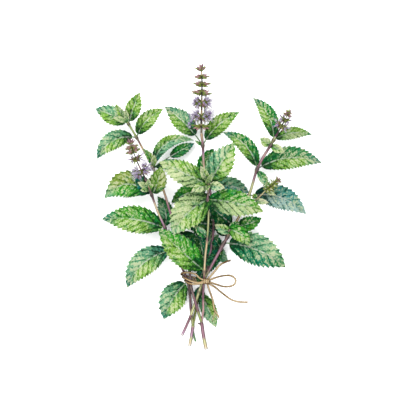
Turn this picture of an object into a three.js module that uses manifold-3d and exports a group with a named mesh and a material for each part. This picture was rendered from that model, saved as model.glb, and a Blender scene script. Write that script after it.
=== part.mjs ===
// A tied bunch of flowering spearmint, lying on a table with its front face up.
// Three cut sprigs, two of them forked just above the cut, give five leafy shoots.
// Four shoots end in flower spikes or flower buds, and one strand of twine holds the stems.
// Millimetres: x runs across the bunch, y from the cut ends to the tips, z up from the table.
// Places are measured from the point on the table under the knot, and the whole is then
// moved so that its origin is under the middle of its bounding box.

import * as THREE from "three";
import Module from "manifold-3d";
import { mergeVertices } from "three/addons/utils/BufferGeometryUtils.js";

const wasm = await Module();
wasm.setup();

const BLADE_THICK = 0.7;
const RIB_THICK = 1.2; // the blade along its midrib
const PETIOLE_WIDE = 1.5;
const PETIOLE_LONG = 3.5;
const TOOTH_EVERY = 10.5; // along the blade's edge
const TOOTH_DEPTH = 0.13; // of the blade's half width
const BLADE_FOLD = 0.2; // rise of the blade's edge over its midrib, per half width
const BLADE_WAVE = 0.1; // height of the waves along the edge, per half width
const STEM_STEP = 14;
const STEM_SQUARENESS = 0.6; // short over long side of the stem's chamfered square
const NODE_SWELL = 0.5; // how far the stem thickens where leaves grow
const NODE_LONG = 2.6;
const TWINE_DIAMETER = 1.8;
const TWINE_SIDES = 8;
const TABLE = 400; // size of the block over the table that the sprigs are trimmed to

const UP = new THREE.Vector3(0, 0, 1);

// Each shoot: the route of its stem, its radius at both ends of the route, and its leaves.
// A leaf is [y of its node, tip x, tip y, tip z, width, arch, bend, roll in degrees] and,
// where it isn't PETIOLE_LONG, the petiole's length. Arch lifts the middle of the midrib, and
// bend carries it to the right, seen from the node.
const SHOOTS = {
  leftLeafy: {
    route: [
      [-4.4, -42.1, 6.2],
      [-10.3, -22.5, 11.4],
      [-14.9, -5, 9.4],
      [-16.2, 8, 8.4],
      [-22.5, 30, 8.6],
      [-34.8, 65.5, 10.8],
      [-44, 94.5, 11.4],
      [-55.5, 117.4, 12],
      [-64.2, 134, 14],
      [-69.4, 143.5, 15.5],
      [-78.6, 159, 18.5],
    ],
    radius: [1.9, 1.1],
    leaves: [
      [157, -110, 172, 10, 17.5, 4, 1.2, 0],
      [157, -66.3, 187.4, 26, 14.5, 1, -0.8, 0],
      [158.5, -90.3, 176.7, 26, 8, -1, -0.5, 0],
      [158.5, -80.5, 171, 29, 5, -1, 0, 0],
      [158, -93, 163, 23, 5, 1, 1, 0],
      [143.5, -43.5, 171.7, 12, 14.5, 3, -4.2, 0],
      [143.5, -109, 122.8, 0.5, 17, 4, 8.8, 0],
      [113, -11.5, 137.7, 7, 11.5, 1, -1, 0],
      [113, -63, 132.3, 16, 7, 0, 2.5, 0],
      [113, -51.5, 125.5, 17, 6, 0, 0, 0],
      [50, -7, 35, 1.5, 14, 1, 0, 0],
    ],
  },
  frontLeafy: {
    route: [
      [-4.4, -42.1, 6.2],
      [-2.7, -28, 9.8],
      [-2.9, -16.1, 11.8],
      [-2.2, -2, 12.9],
      [-0.8, 23.7, 18],
      [1.3, 43, 23],
      [2.5, 68, 30],
      [1.7, 82, 34],
      [2.6, 94.5, 37],
      [1.4, 102, 40],
    ],
    radius: [1.8, 1.1],
    leaves: [
      [10, -48, 53, 20, 30, 3, -0.7, 0],
      [81, -32.3, 46.4, 23, 29, 3, 5.6, 0],
      [81, 56.2, 69.6, 27, 24.5, 3, -2.5, 0],
      [96, -45, 118, 34, 26, 2, -0.5, 0],
      [96, 28, 136.5, 38, 27, 1, -1, 0],
      [100, -3.8, 112, 50, 8, -1, 0, 0],
      [100, 5.6, 106, 50, 5, -1, 0, 0],
      [99, -13.1, 87.9, 42, 9, 2, 0, 0],
      [99, 17.9, 93.5, 43, 8, 2, 0, 0],
      [43, -10.5, 54.5, 27, 8, 1, 0, 0],
    ],
  },
  leftFlowering: {
    route: [
      [-13, -45, 2.0],
      [-15, -32, 2.2],
      [-16, -15.3, 3.4],
      [-17.6, -4, 4.0],
      [-20.8, 6, 4.8],
      [-24.5, 14, 6],
      [-33, 33, 9.5],
      [-41, 53, 13.5],
      [-48.5, 70, 16.5],
      [-54.2, 86, 20.5],
      [-58.8, 98.5, 25],
    ],
    radius: [1.9, 1.2],
    leaves: [
      [86, -101, 83, 0.5, 28, 3, 12.8, 0],
      [86, -45.6, 113.6, 20, 17.5, 0, 1.8, 0],
      [86, -71, 107, 6, 14, 0, 0, 0],
      [93, -67.5, 98, 27, 6, 1, 0, 0],
      [93, -55.5, 100, 27, 5, 1, 0, 0],
      [53, -104, 61.7, 0.5, 28, 4, 3.9, 0],
      [53, -48.7, 83.7, 2.5, 14, -6, 4.6, 0],
      [31, -79, -6.6, 0.4, 27, 5, 9, 0, 7],
      [-3.5, -42.6, -39.5, 0.3, 26, 2, 3.6, 0],
    ],
  },
  centreFlowering: {
    route: [
      [-13, -45, 2.0],
      [-10.5, -30.6, 2.4],
      [-7.5, -15, 3.2],
      [-3.5, -2, 4.0],
      [1.2, 10, 4.2],
      [4.8, 30.6, 4.6],
      [8, 57, 5.4],
      [6, 80, 7],
      [1.5, 100, 9],
      [-2.1, 116, 11.5],
      [-3.2, 135.5, 15],
      [-4.5, 147.5, 17.5],
    ],
    radius: [1.9, 1.4],
    leaves: [
      [135.5, -41, 173.8, 12, 20.5, -3, 2.8, 0, 15],
      [135.5, 33.4, 168, 14, 17, -1, -5, 0, 8],
      [134.5, -51, 123, 14, 14, 8, 14, 50],
      [100, 7.4, 131.7, 0.6, 17, 0, -4, 0],
      [92, 43, 88.1, 3, 18, 1, -5, 0],
      [92, -35, 78, 2, 18, 1, 3.5, 0],
      [57, -18, 62, 1.5, 14, 1, 0, 0],
      [26, 13, 47, 2, 10, 0, -2, 0],
      [38, 22.2, 20, 0.5, 15, 1, 2.5, 0],
    ],
  },
  rightFlowering: {
    route: [
      [-24.3, -55, 2.6],
      [-19.7, -45.1, 4.8],
      [-15.1, -34.4, 6.8],
      [-11.3, -23.7, 7.0],
      [-7.4, -12.3, 7.8],
      [-3.5, -1, 8.4],
      [0.2, 5.5, 8.8],
      [7.2, 18.2, 10],
      [18, 38, 12],
      [26, 52, 13.2],
      [34, 66, 14],
      [43.8, 88, 15],
      [50.8, 111, 16.5],
      [57, 123.5, 17.5],
      [65, 136.5, 19],
      [69, 143.5, 20.5],
    ],
    radius: [1.9, 1.3],
    leaves: [
      [141, 47, 182.5, 14, 15, 1, 6.2, 0],
      [141, 105.5, 146.4, 6, 11.5, -2, -4.5, 0],
      [135.5, 54.5, 143, 25, 9, 1, 0, 0],
      [135.5, 77.8, 129, 22, 8, 1, 0, 0],
      [112, 17.2, 148, 19, 14.5, 2, 7.8, 0],
      [112, 115, 118.6, 0.5, 23, 5, -8.3, 0, 6],
      [111, 61.5, 95, 20, 8.5, 1, -0.7, 0],
      [85, 99.7, 67.5, 1, 24.5, 3, -8.5, 0, 6],
      [54, 55, 63, 12, 14, 1, 1.5, 0],
      [52, 43, 35.6, 17, 17, 4, -2, 0],
      [52, 9.8, 55.5, 18, 12, 1, -1.5, 0],
      [55, 9, 70, 10, 14, 0, 0, 0],
      [38, 78.9, 14, 0.4, 33, 4, -6, 0, 6],
      [-11, 9.9, -47.3, 0.4, 16, -2, -1.2, 0],
    ],
  },
  rightSideShoot: {
    route: [
      [40.4, 80, 14.7],
      [46, 79.5, 17],
      [53, 84, 19],
      [59.5, 90.5, 21.5],
    ],
    radius: [1.1, 0.8],
    leaves: [
      [80.5, 62, 78.7, 21, 6, 1, 0, 0],
      [81.5, 47.5, 87, 22, 5, 1, 0, 0],
    ],
  },
};

// The single cut stems below the two forks: the fork first, then the cut end.
const FRONT_CUT_STEM = [
  [-4.4, -42.1, 6.2],
  [-2.4, -56, 3.2],
  [0.2, -68.9, 1.3],
];
const BACK_CUT_STEM = [
  [-13, -45, 2.0],
  [-14.6, -55, 1.6],
  [-16.6, -65.8, 1.3],
];
const CUT_STEM_RADIUS = 2.3;

// Each flower spike: its axis, and its whorls as [place along the axis, radius, open flowers].
const SPIKES = {
  centre_flower_spike: {
    route: [
      [-4.6, 148, 17.6],
      [-4.6, 158, 19],
      [-4.3, 178, 21.5],
      [-4.3, 200, 23.5],
      [-5.2, 209, 24.5],
      [-7, 217, 25],
    ],
    radius: [1.1, 0.5],
    whorls: [
      [0.11, 10, true],
      [0.25, 11.5, true],
      [0.43, 10.5, true],
      [0.58, 9.5, false],
      [0.71, 8.5, false],
      [0.81, 7, false],
      [0.9, 5.5, false],
    ],
  },
  left_flower_spike: {
    route: [
      [-59.1, 99.3, 25.3],
      [-63, 107.5, 28.5],
      [-68.5, 119, 32],
      [-72.5, 129.6, 34],
      [-74.8, 138.5, 35.5],
    ],
    radius: [1.0, 0.5],
    whorls: [
      [0.25, 10, true],
      [0.51, 8.5, true],
      [0.76, 7, false],
      [0.92, 4.5, false],
    ],
  },
  right_flower_spike: {
    route: [
      [69.5, 144.4, 21],
      [73, 150.5, 25],
      [78.5, 160.5, 28],
      [83.5, 169, 31],
    ],
    radius: [1.0, 0.5],
    whorls: [
      [0.2, 4.5, false],
      [0.45, 6, true],
      [0.7, 5.8, true],
      [0.9, 4, true],
    ],
  },
  right_bud_spike: {
    route: [
      [59.8, 90.8, 21.7],
      [66.5, 96, 24],
      [73.5, 101.5, 26],
    ],
    radius: [0.8, 0.5],
    whorls: [
      [0.3, 4.6, false],
      [0.58, 3.8, false],
      [0.82, 3, false],
    ],
  },
};
const FLOWERS_A_SIDE = { large: 4, small: 3 };
const LARGE_WHORL = 7;
// Shares of the whorl's radius, and where a flower is widest as a share of its length.
const WHORL_CORE = 0.45;
const FLOWER_ROOT = 0.28;
const OPEN_FLOWER = { reach: 1, radius: 0.18, widest: 0.8 };
const CLOSED_FLOWER = { reach: 0.95, radius: 0.14, widest: 0.5 };

// The twine: two turns round the stems, a knot on top of them, a loop and three tails.
const KNOT = [0, 0, 16.9];
const KNOT_SIZE = [6, 4.4, 3.4];
const TWINE_TURNS = [
  [
    [-1, 0.6, 16.4],
    [-4.6, 1.9, 15.6],
    [-7.2, 3.6, 14.2],
    [-10.2, 6.6, 13],
    [-14.5, 8.1, 12.4],
    [-18.6, 8.4, 11.2],
    [-23.2, 8, 8.4],
    [-25, 6.8, 4.8],
    [-23, 5.6, 1.9],
    [-18.6, 4.6, 1.1],
    [-9, 2.6, 1],
    [-3, 1.6, 1],
    [1.8, 1.2, 2.6],
    [3.6, 1.2, 7],
    [2.4, 1, 13],
    [1.2, 0.8, 15.4],
  ],
  [
    [-1, -0.4, 16.4],
    [-4.2, -1.0, 15.6],
    [-7.8, -1.8, 14],
    [-13.1, -0.8, 12.4],
    [-17.6, 1, 11],
    [-21.8, 3, 8.2],
    [-23.5, 3.8, 4.8],
    [-22, 2.8, 1.9],
    [-17, 1.4, 1.1],
    [-9, 0.6, 1],
    [-3, 0, 1],
    [1.4, -0.4, 2.4],
    [2.9, -0.5, 7],
    [2, -0.4, 13],
    [1, -0.4, 15.4],
  ],
];
const TWINE_ENDS = {
  twine_right_loop: [
    [3.2, 0.9, 17.2],
    [10.4, 3.6, 13.5],
    [18, 5.2, 7],
    [24.7, 5.2, 2.2],
    [28.6, 2.8, 0.9],
    [29.8, -0.3, 0.9],
    [28.6, -3.3, 0.9],
    [24.7, -5.4, 2.2],
    [18, -5.7, 6.6],
    [10.4, -3.4, 13],
    [3.2, -0.9, 16.8],
  ],
  twine_upper_tail: [
    [2.2, 2.5, 17.4],
    [6.3, 6.9, 16],
    [9.4, 10.7, 15],
    [12.3, 14.5, 14],
    [16.1, 17.4, 11],
    [20.8, 19.3, 5.5],
    [24.6, 20.6, 1.6],
  ],
  twine_right_tail: [
    [3.0, -2.6, 17],
    [8.5, -5.8, 14],
    [15.1, -11.3, 8],
    [19.9, -15.1, 3.4],
    [24.7, -18.5, 1.1],
    [30.5, -20.7, 0.9],
    [36.2, -21.4, 0.9],
    [41.9, -21.4, 0.9],
  ],
  twine_lower_tail: [
    [1.4, -3.0, 17],
    [3.4, -9.4, 14],
    [5.4, -15, 10],
    [7, -20, 8],
    [7.6, -25, 7.4],
    [8.8, -29.5, 6.9],
    [11, -33, 6.2],
    [13.2, -37, 5.2],
  ],
};

function vector(point) {
  return new THREE.Vector3(...point);
}

// A closed mesh as a solid that can be joined and cut.
function solidOf(geometry) {
  const bare = geometry.index ? geometry.clone() : geometry;
  bare.deleteAttribute("normal");
  bare.deleteAttribute("uv");
  const merged = mergeVertices(bare, 1e-4);
  return new wasm.Manifold(
    new wasm.Mesh({
      numProp: 3,
      vertProperties: merged.attributes.position.array,
      triVerts: new Uint32Array(merged.index.array),
    }),
  );
}

function geometryOf(solid) {
  const mesh = solid.getMesh();
  const positions = new Float32Array(mesh.numVert * 3);
  for (let i = 0; i < mesh.numVert; i++) {
    const start = i * mesh.numProp;
    positions.set(mesh.vertProperties.subarray(start, start + 3), i * 3);
  }
  return new THREE.BufferGeometry()
    .setAttribute("position", new THREE.BufferAttribute(positions, 3))
    .setIndex(new THREE.BufferAttribute(mesh.triVerts, 1));
}

function fuse(solids) {
  return solids.reduce((whole, next) => whole.add(next));
}

function indexed(points, triangles) {
  return new THREE.BufferGeometry()
    .setFromPoints(points)
    .setIndex(triangles.flat());
}

// Skins a row of rings, which turn from the right-hand side towards the upper side.
function loft(rings) {
  const n = rings[0].length;
  const last = (rings.length - 1) * n;
  const triangles = [];
  for (let i = 0; i < rings.length - 1; i++) {
    for (let k = 0; k < n; k++) {
      const a = i * n + k;
      const b = i * n + ((k + 1) % n);
      triangles.push([a, a + n, b + n], [a, b + n, b]);
    }
  }
  for (let k = 1; k < n - 1; k++) {
    triangles.push([0, k, k + 1], [last, last + k + 1, last + k]);
  }
  return indexed(rings.flat(), triangles);
}

// The directions along, right of and above a curve at t, where up is as near to above as it can be.
function frameAt(curve, t, up) {
  const along = curve.getTangent(t);
  const right = along.clone().cross(up).normalize();
  const above = right.clone().cross(along);
  return { along, right, above };
}

function placed(centre, frame, right, above) {
  return centre
    .clone()
    .addScaledVector(frame.right, right)
    .addScaledVector(frame.above, above);
}

function stemCurve(route) {
  return new THREE.CatmullRomCurve3(route.map(vector), false, "centripetal");
}

// Every stem runs towards larger y all along, or towards smaller y all along.
function shareAtY(curve, y) {
  const rising = curve.getPoint(1).y > curve.getPoint(0).y;
  let low = 0;
  let high = 1;
  for (let i = 0; i < 30; i++) {
    const middle = (low + high) / 2;
    const before = curve.getPoint(middle).y < y === rising;
    if (before) low = middle;
    else high = middle;
  }
  return low;
}

// A square stem with chamfered corners, thicker at its nodes.
function stemSolid(curve, [startRadius, endRadius], nodes) {
  const steps = Math.max(3, Math.round(curve.getLength() / STEM_STEP));
  const shares = Array.from({ length: steps + 1 }, (_, i) => i / steps);
  const length = curve.getLength();
  for (const node of nodes) {
    for (const offset of [-NODE_LONG, 0, NODE_LONG]) {
      shares.push(node + offset / length);
    }
  }
  const tidy = shares
    .filter((t) => t >= 0 && t <= 1)
    .sort((a, b) => a - b)
    .filter((t, i, all) => i === 0 || (t - all[i - 1]) * length > 0.6);
  const rings = tidy.map((t) => {
    const nearest = Math.min(
      1e3,
      ...nodes.map((node) => Math.abs(t - node) * length),
    );
    const swell = NODE_SWELL * Math.max(0, 1 - nearest / NODE_LONG);
    const radius = startRadius + (endRadius - startRadius) * t + swell;
    const long = radius * 0.94;
    const short = long * STEM_SQUARENESS;
    const corners = [
      [long, -short],
      [long, short],
      [short, long],
      [-short, long],
      [-long, short],
      [-long, -short],
      [-short, -long],
      [short, -long],
    ];
    const frame = frameAt(curve, t, UP);
    const centre = curve.getPoint(t);
    return corners.map(([x, z]) => placed(centre, frame, x, z));
  });
  return solidOf(loft(rings));
}

// Half the blade's width at share s of its length, 1 at its widest: round at the base and
// pointed at the tip.
function outline(s) {
  const base = 0.48;
  const point = 0.75;
  const widest = base / (base + point);
  return (
    (s ** base * (1 - s) ** point) / (widest ** base * (1 - widest) ** point)
  );
}

// The midrib of a leaf that grows from start and ends at tip, and the blade's own up direction.
function midribOf(start, tip, arch, bend, roll) {
  const chord = tip.clone().sub(start);
  const along = chord.clone().normalize();
  const right = along.clone().cross(UP).normalize();
  const up = right.clone().cross(along);
  up.applyAxisAngle(along, THREE.MathUtils.degToRad(roll));
  const off = UP.clone()
    .multiplyScalar((arch * 4) / 3)
    .addScaledVector(right, (bend * 4) / 3);
  const near = start.clone().addScaledVector(chord, 1 / 3).add(off);
  const far = start.clone().addScaledVector(chord, 2 / 3).add(off);
  return { curve: new THREE.CubicBezierCurve3(start, near, far, tip), up };
}

// A toothed blade on its petiole, as a thin grid of three points a row, alike on both faces.
function leafSolid(start, [, x, y, z, width, arch, bend, roll, petioleLong = PETIOLE_LONG]) {
  const { curve, up } = midribOf(start, vector([x, y, z]), arch, bend, roll);
  const length = curve.getLength();
  const bladeStart = Math.min(0.3, petioleLong / length);
  const petiole = Math.min(PETIOLE_WIDE, width / 4);
  const teeth = Math.max(2, Math.round((length * (1 - bladeStart)) / TOOTH_EVERY));
  const rows = [
    { s: 0, half: petiole / 2, thick: RIB_THICK },
    { s: 0, half: petiole / 2, thick: RIB_THICK, t: bladeStart * 0.9 },
  ];
  for (let k = 0; k < teeth; k++) {
    const notch = Math.max(k / teeth, 0.03);
    const tooth = (k + 0.62) / teeth;
    rows.push({ s: notch, half: ((outline(notch) * width) / 2) * (1 - TOOTH_DEPTH) });
    rows.push({ s: tooth, half: (outline(tooth) * width) / 2 });
  }
  rows.push({ s: 1, half: 0.2 });
  const top = [];
  const bottom = [];
  for (const row of rows) {
    const t = row.t ?? (row.s === 0 ? 0 : bladeStart + (1 - bladeStart) * row.s);
    const frame = frameAt(curve, t, up);
    const centre = curve.getPoint(t);
    const thick = row.thick ?? BLADE_THICK;
    const rib = THREE.MathUtils.lerp(RIB_THICK, thick, Math.min(1, row.s * 1.4));
    for (const side of [-1, 0, 1]) {
      const wave = BLADE_WAVE * Math.sin(row.s * 15 + side + width);
      const lift = row.s ? Math.abs(side) * row.half * (BLADE_FOLD + wave) : 0;
      const below = side === 0 ? rib - thick / 2 : thick / 2;
      top.push(placed(centre, frame, side * row.half, lift + thick / 2));
      bottom.push(placed(centre, frame, side * row.half, lift - below));
    }
  }
  const n = top.length;
  const triangles = [];
  for (let row = 0; row < rows.length - 1; row++) {
    for (let column = 0; column < 2; column++) {
      const a = row * 3 + column;
      const faces =
        column === 0
          ? [[a, a + 1, a + 4], [a, a + 4, a + 3]]
          : [[a, a + 1, a + 3], [a + 1, a + 4, a + 3]];
      for (const [p, q, r] of faces) {
        triangles.push([p, q, r], [n + p, n + r, n + q]);
      }
    }
    const left = row * 3;
    const right = left + 2;
    triangles.push([left, left + 3, n + left + 3], [left, n + left + 3, n + left]);
    triangles.push([right, n + right + 3, right + 3], [right, n + right, n + right + 3]);
  }
  const end = n - 3;
  for (const k of [0, 1]) {
    triangles.push([k, n + k, n + k + 1], [k, n + k + 1, k + 1]);
    triangles.push([end + k, n + end + k + 1, n + end + k], [end + k, end + k + 1, n + end + k + 1]);
  }
  return solidOf(indexed([...top, ...bottom], triangles));
}

function shootSolids({ route, radius, leaves }) {
  const curve = stemCurve(route);
  const nodes = [...new Set(leaves.map((leaf) => leaf[0]))].map((y) => shareAtY(curve, y));
  const blades = leaves.map((leaf) => {
    const start = curve.getPoint(shareAtY(curve, leaf[0]));
    return leafSolid(start, leaf);
  });
  return [stemSolid(curve, radius, nodes), ...blades];
}

// What would dip under the table's surface lies flat on it.
function trimmedAtTable(solid) {
  const block = new THREE.BoxGeometry(TABLE * 2, TABLE * 2, TABLE);
  block.translate(0, 0, TABLE / 2);
  return solid.intersect(solidOf(block));
}

function cutStem(route) {
  return stemSolid(stemCurve(route), [CUT_STEM_RADIUS, CUT_STEM_RADIUS], [0]);
}

// A slim body that is pointed at both ends.
function spindle(from, to, radius, widest, sides) {
  const axis = new THREE.LineCurve3(from, to);
  const frame = frameAt(axis, 0, Math.abs(axis.getTangent(0).z) > 0.9 ? new THREE.Vector3(0, 1, 0) : UP);
  const middle = axis.getPoint(widest);
  const points = [from, to];
  const triangles = [];
  for (let k = 0; k < sides; k++) {
    const angle = (k / sides) * 2 * Math.PI;
    points.push(placed(middle, frame, radius * Math.cos(angle), radius * Math.sin(angle)));
    const a = 2 + k;
    const b = 2 + ((k + 1) % sides);
    triangles.push([0, a, b], [1, b, a]);
  }
  return solidOf(indexed(points, triangles));
}

// A flower cluster in two halves, left and right of the spike's axis, with a bract under each half.
function whorlSolids(curve, [share, radius, open]) {
  const frame = frameAt(curve, share, UP);
  const centre = curve.getPointAt(share);
  const direction = (around, rise) =>
    frame.right
      .clone()
      .multiplyScalar(Math.cos(around) * Math.cos(rise))
      .addScaledVector(frame.above, Math.sin(around) * Math.cos(rise))
      .addScaledVector(frame.along, Math.sin(rise));
  const reach = (around, rise, distance) =>
    centre.clone().addScaledVector(direction(around, rise), distance);
  const core = new THREE.IcosahedronGeometry(radius * WHORL_CORE).translate(...centre.toArray());
  const solids = [solidOf(core)];
  const count = radius >= LARGE_WHORL ? FLOWERS_A_SIDE.large : FLOWERS_A_SIDE.small;
  for (const side of [0, Math.PI]) {
    for (let i = 0; i < count; i++) {
      const around = side + THREE.MathUtils.degToRad(-66 + (132 * i) / (count - 1));
      const rise = THREE.MathUtils.degToRad(i % 2 ? 34 : 2);
      const floret = open ? OPEN_FLOWER : CLOSED_FLOWER;
      solids.push(
        spindle(
          reach(around, rise, radius * FLOWER_ROOT),
          reach(around, rise, radius * floret.reach),
          radius * floret.radius,
          floret.widest,
          3,
        ),
      );
    }
    const droop = THREE.MathUtils.degToRad(-24);
    solids.push(
      spindle(
        reach(side, droop, radius * FLOWER_ROOT),
        reach(side, droop, radius * 1.05),
        radius * 0.13,
        0.4,
        4,
      ),
    );
  }
  return solids;
}

function spikeSolid({ route, radius, whorls }) {
  const curve = stemCurve(route);
  const tip = curve.getPoint(1);
  const along = curve.getTangent(1);
  const bud = spindle(
    tip.clone().addScaledVector(along, -3),
    tip.clone().addScaledVector(along, 2.4),
    1.5,
    0.4,
    5,
  );
  return fuse([
    stemSolid(curve, radius, []),
    bud,
    ...whorls.flatMap((whorl) => whorlSolids(curve, whorl)),
  ]);
}

function twineSection() {
  const shape = new THREE.Shape();
  for (let k = 0; k < TWINE_SIDES; k++) {
    const angle = (k / TWINE_SIDES) * 2 * Math.PI;
    const x = (TWINE_DIAMETER / 2) * Math.cos(angle);
    const y = (TWINE_DIAMETER / 2) * Math.sin(angle);
    if (k === 0) shape.moveTo(x, y);
    else shape.lineTo(x, y);
  }
  shape.closePath();
  return shape;
}

function twineSolid(route, closed) {
  const path = new THREE.CatmullRomCurve3(route.map(vector), closed, "centripetal");
  const steps = Math.round(path.getLength() / (TWINE_DIAMETER * 2.4));
  return solidOf(
    new THREE.ExtrudeGeometry(twineSection(), { extrudePath: path, steps, curveSegments: 1 }),
  );
}

// The turns round the stems, and the knot that pulls them together.
function tieSolid() {
  const knot = new THREE.SphereGeometry(0.5, 12, 8);
  knot.scale(...KNOT_SIZE);
  knot.translate(...KNOT);
  return fuse([solidOf(knot), ...TWINE_TURNS.map((turn) => twineSolid(turn, true))]);
}

const mesh = (name, solid, material) => {
  const made = new THREE.Mesh(geometryOf(solid), material);
  made.name = name;
  return made;
};

const LEAF_GREEN = new THREE.MeshStandardMaterial({ color: 0x6f9a4a, roughness: 0.6, metalness: 0 });
const FLOWER_LILAC = new THREE.MeshStandardMaterial({ color: 0x9a86a8, roughness: 0.7, metalness: 0 });
const TWINE_TAN = new THREE.MeshStandardMaterial({ color: 0xb5935c, roughness: 0.9, metalness: 0 });

const bunch = new THREE.Group();
bunch.add(
  mesh(
    "front_forked_sprig",
    trimmedAtTable(
      fuse([
        cutStem(FRONT_CUT_STEM),
        ...shootSolids(SHOOTS.leftLeafy),
        ...shootSolids(SHOOTS.frontLeafy),
      ]),
    ),
    LEAF_GREEN,
  ),
  mesh(
    "back_forked_sprig",
    trimmedAtTable(
      fuse([
        cutStem(BACK_CUT_STEM),
        ...shootSolids(SHOOTS.leftFlowering),
        ...shootSolids(SHOOTS.centreFlowering),
      ]),
    ),
    LEAF_GREEN,
  ),
  mesh(
    "right_sprig",
    trimmedAtTable(
      fuse([...shootSolids(SHOOTS.rightFlowering), ...shootSolids(SHOOTS.rightSideShoot)]),
    ),
    LEAF_GREEN,
  ),
);
for (const [name, spike] of Object.entries(SPIKES)) {
  bunch.add(mesh(name, spikeSolid(spike), FLOWER_LILAC));
}
bunch.add(mesh("twine_tie", tieSolid(), TWINE_TAN));
for (const [name, route] of Object.entries(TWINE_ENDS)) {
  bunch.add(mesh(name, twineSolid(route, false), TWINE_TAN));
}

const box = new THREE.Box3().setFromObject(bunch);
const middle = box.getCenter(new THREE.Vector3());
bunch.position.set(-middle.x, -middle.y, -box.min.z);

export default bunch;
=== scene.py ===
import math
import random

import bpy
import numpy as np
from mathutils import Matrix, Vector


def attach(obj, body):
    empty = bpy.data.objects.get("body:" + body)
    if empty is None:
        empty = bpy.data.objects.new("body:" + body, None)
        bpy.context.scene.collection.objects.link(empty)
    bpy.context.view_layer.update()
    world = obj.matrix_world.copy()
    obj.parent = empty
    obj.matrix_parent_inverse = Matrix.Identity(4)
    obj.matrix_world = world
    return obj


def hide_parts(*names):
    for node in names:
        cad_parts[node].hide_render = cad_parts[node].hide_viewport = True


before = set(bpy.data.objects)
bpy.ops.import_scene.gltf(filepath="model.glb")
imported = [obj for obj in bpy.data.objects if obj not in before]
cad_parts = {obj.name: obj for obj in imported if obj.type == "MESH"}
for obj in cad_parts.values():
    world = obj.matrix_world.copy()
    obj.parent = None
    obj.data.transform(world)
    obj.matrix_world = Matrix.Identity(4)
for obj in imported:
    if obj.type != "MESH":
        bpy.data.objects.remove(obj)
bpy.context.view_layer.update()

# Looks for a tied bunch of flowering spearmint that lies on a table with its front face up.
# Shapes are worked out in millimetres from the point on the table under the twine's knot:
# x runs across the bunch, y from the cut ends to the tips, z up from the table.
# metres() then takes them into the frame, whose origin is under the middle of the bunch.

# The middle of the bunch from the knot, in millimetres.
MIDDLE = np.array([2.4844, 74.9141, 0.0])
UP = np.array([0.0, 0.0, 1.0])
# The lowest that any piece lies, so that none is level with the floor.
TABLE_TOP = 0.05
CURVE_STEP = 0.5

# The camera looks straight down from far away, as the flat picture does.
PICTURE_WIDE = 416.0
PICTURE_CENTRE = (2.0, 73.0)
CAMERA_HIGH = 4000.0
MIDDLE_HIGH = 15.0
SENSOR = 36.0
CAMERA_SEES = (0.1, 20.0)

# The light on the table, as a multiple of what shows a white surface as white.
LIGHT_LEVEL = 2.9
SKY_LIGHT = 2.3
KEY_LIGHT = {"place": (-0.8, 0.9, 1.5), "size": 1.0, "power": 40}
FLOOR_REACH = 6.0
FLOOR_GREYS = (0.93, 0.96)


def rgb(text):
    """The linear paint that looks like a colour such as 5a9a3c in the light on the table."""
    parts = [int(text[i : i + 2], 16) / 255 for i in (0, 2, 4)]
    linear = [c / 12.92 if c <= 0.04045 else ((c + 0.055) / 1.055) ** 2.4 for c in parts]
    return [c / LIGHT_LEVEL for c in linear]


COLOURS = {
    name: np.array(rgb(text))
    for name, text in {
        "deep": "002a14", "dark": "0f6630", "mid": "2e8e3a",
        "bright": "4ea43e", "lime": "8cbc5a", "pale": "b8d096",
        "cream": "eef0c8", "olive": "8ca650", "mint": "80ba90",
        "green": "3c8c52", "teal": "2c8074", "moss": "92b458",
        "jade": "2a8a66", "sea": "58a09a", "mist": "a3c6c0",
        "plum": "6c3252", "wine": "35162a", "mauve": "96627e",
        "lilac": "b48aac", "tan": "d2b484", "sand": "dcc7a0",
        "straw": "c8cc8c", "white": "f6f6ee", "brown": "6e5238",
        "leafy": "8a9c36", "rose": "b88a8e", "petal": "f2e8fe",
        "petal_deep": "ccb2ea", "throat": "9a76bc", "anther": "9074ba",
        "twine": "be8e4c", "twine_light": "fbe6ba", "twine_dark": "402408",
    }.items()
}


def metres(points):
    """Points in the frame, from millimetres round the knot."""
    return (np.asarray(points, float) - MIDDLE) / 1000.0


def unit(v):
    v = np.asarray(v, float)
    return v / np.maximum(np.linalg.norm(v, axis=-1, keepdims=True), 1e-12)


def smooth_step(low, high, x):
    t = np.clip((np.asarray(x, float) - low) / (high - low), 0, 1)
    return t * t * (3 - 2 * t)


def curve_through(route):
    """A smooth curve through the route's points, as points that are about CURVE_STEP apart."""
    p = np.array(route, float)
    p = np.vstack([2 * p[0] - p[1], p, 2 * p[-1] - p[-2]])
    made = []
    for a, b, c, d in zip(p[:-3], p[1:-2], p[2:-1], p[3:]):
        ta, tb, tc = (np.linalg.norm(y - x) ** 0.5 for x, y in ((a, b), (b, c), (c, d)))
        leave = ((b - a) / ta - (c - a) / (ta + tb) + (c - b) / tb) * tb
        arrive = ((c - b) / tb - (d - b) / (tb + tc) + (d - c) / tc) * tb
        steps = max(2, int(np.linalg.norm(c - b) / CURVE_STEP))
        t = np.arange(steps)[:, None] / steps
        square = (-3 * b + 3 * c - 2 * leave - arrive) * t**2
        cube = (2 * b - 2 * c + leave + arrive) * t**3
        made.append(b + leave * t + square + cube)
    made.append(p[-2][None, :])
    return np.vstack(made)


def lengths_along(line):
    return np.concatenate([[0], np.cumsum(np.linalg.norm(np.diff(line, axis=0), axis=1))])


def evenly(line, spacing):
    """The same line with its points an equal distance apart."""
    along = lengths_along(line)
    count = max(2, int(round(along[-1] / spacing)) + 1)
    at = np.linspace(0, along[-1], count)
    return np.stack([np.interp(at, along, line[:, k]) for k in range(3)], axis=1)


def frames_along(line):
    """The unit directions along, right of and above a line at each of its points."""
    along = unit(np.gradient(line, axis=0))
    right = unit(np.cross(along, UP))
    return along, right, np.cross(right, along)


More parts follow.
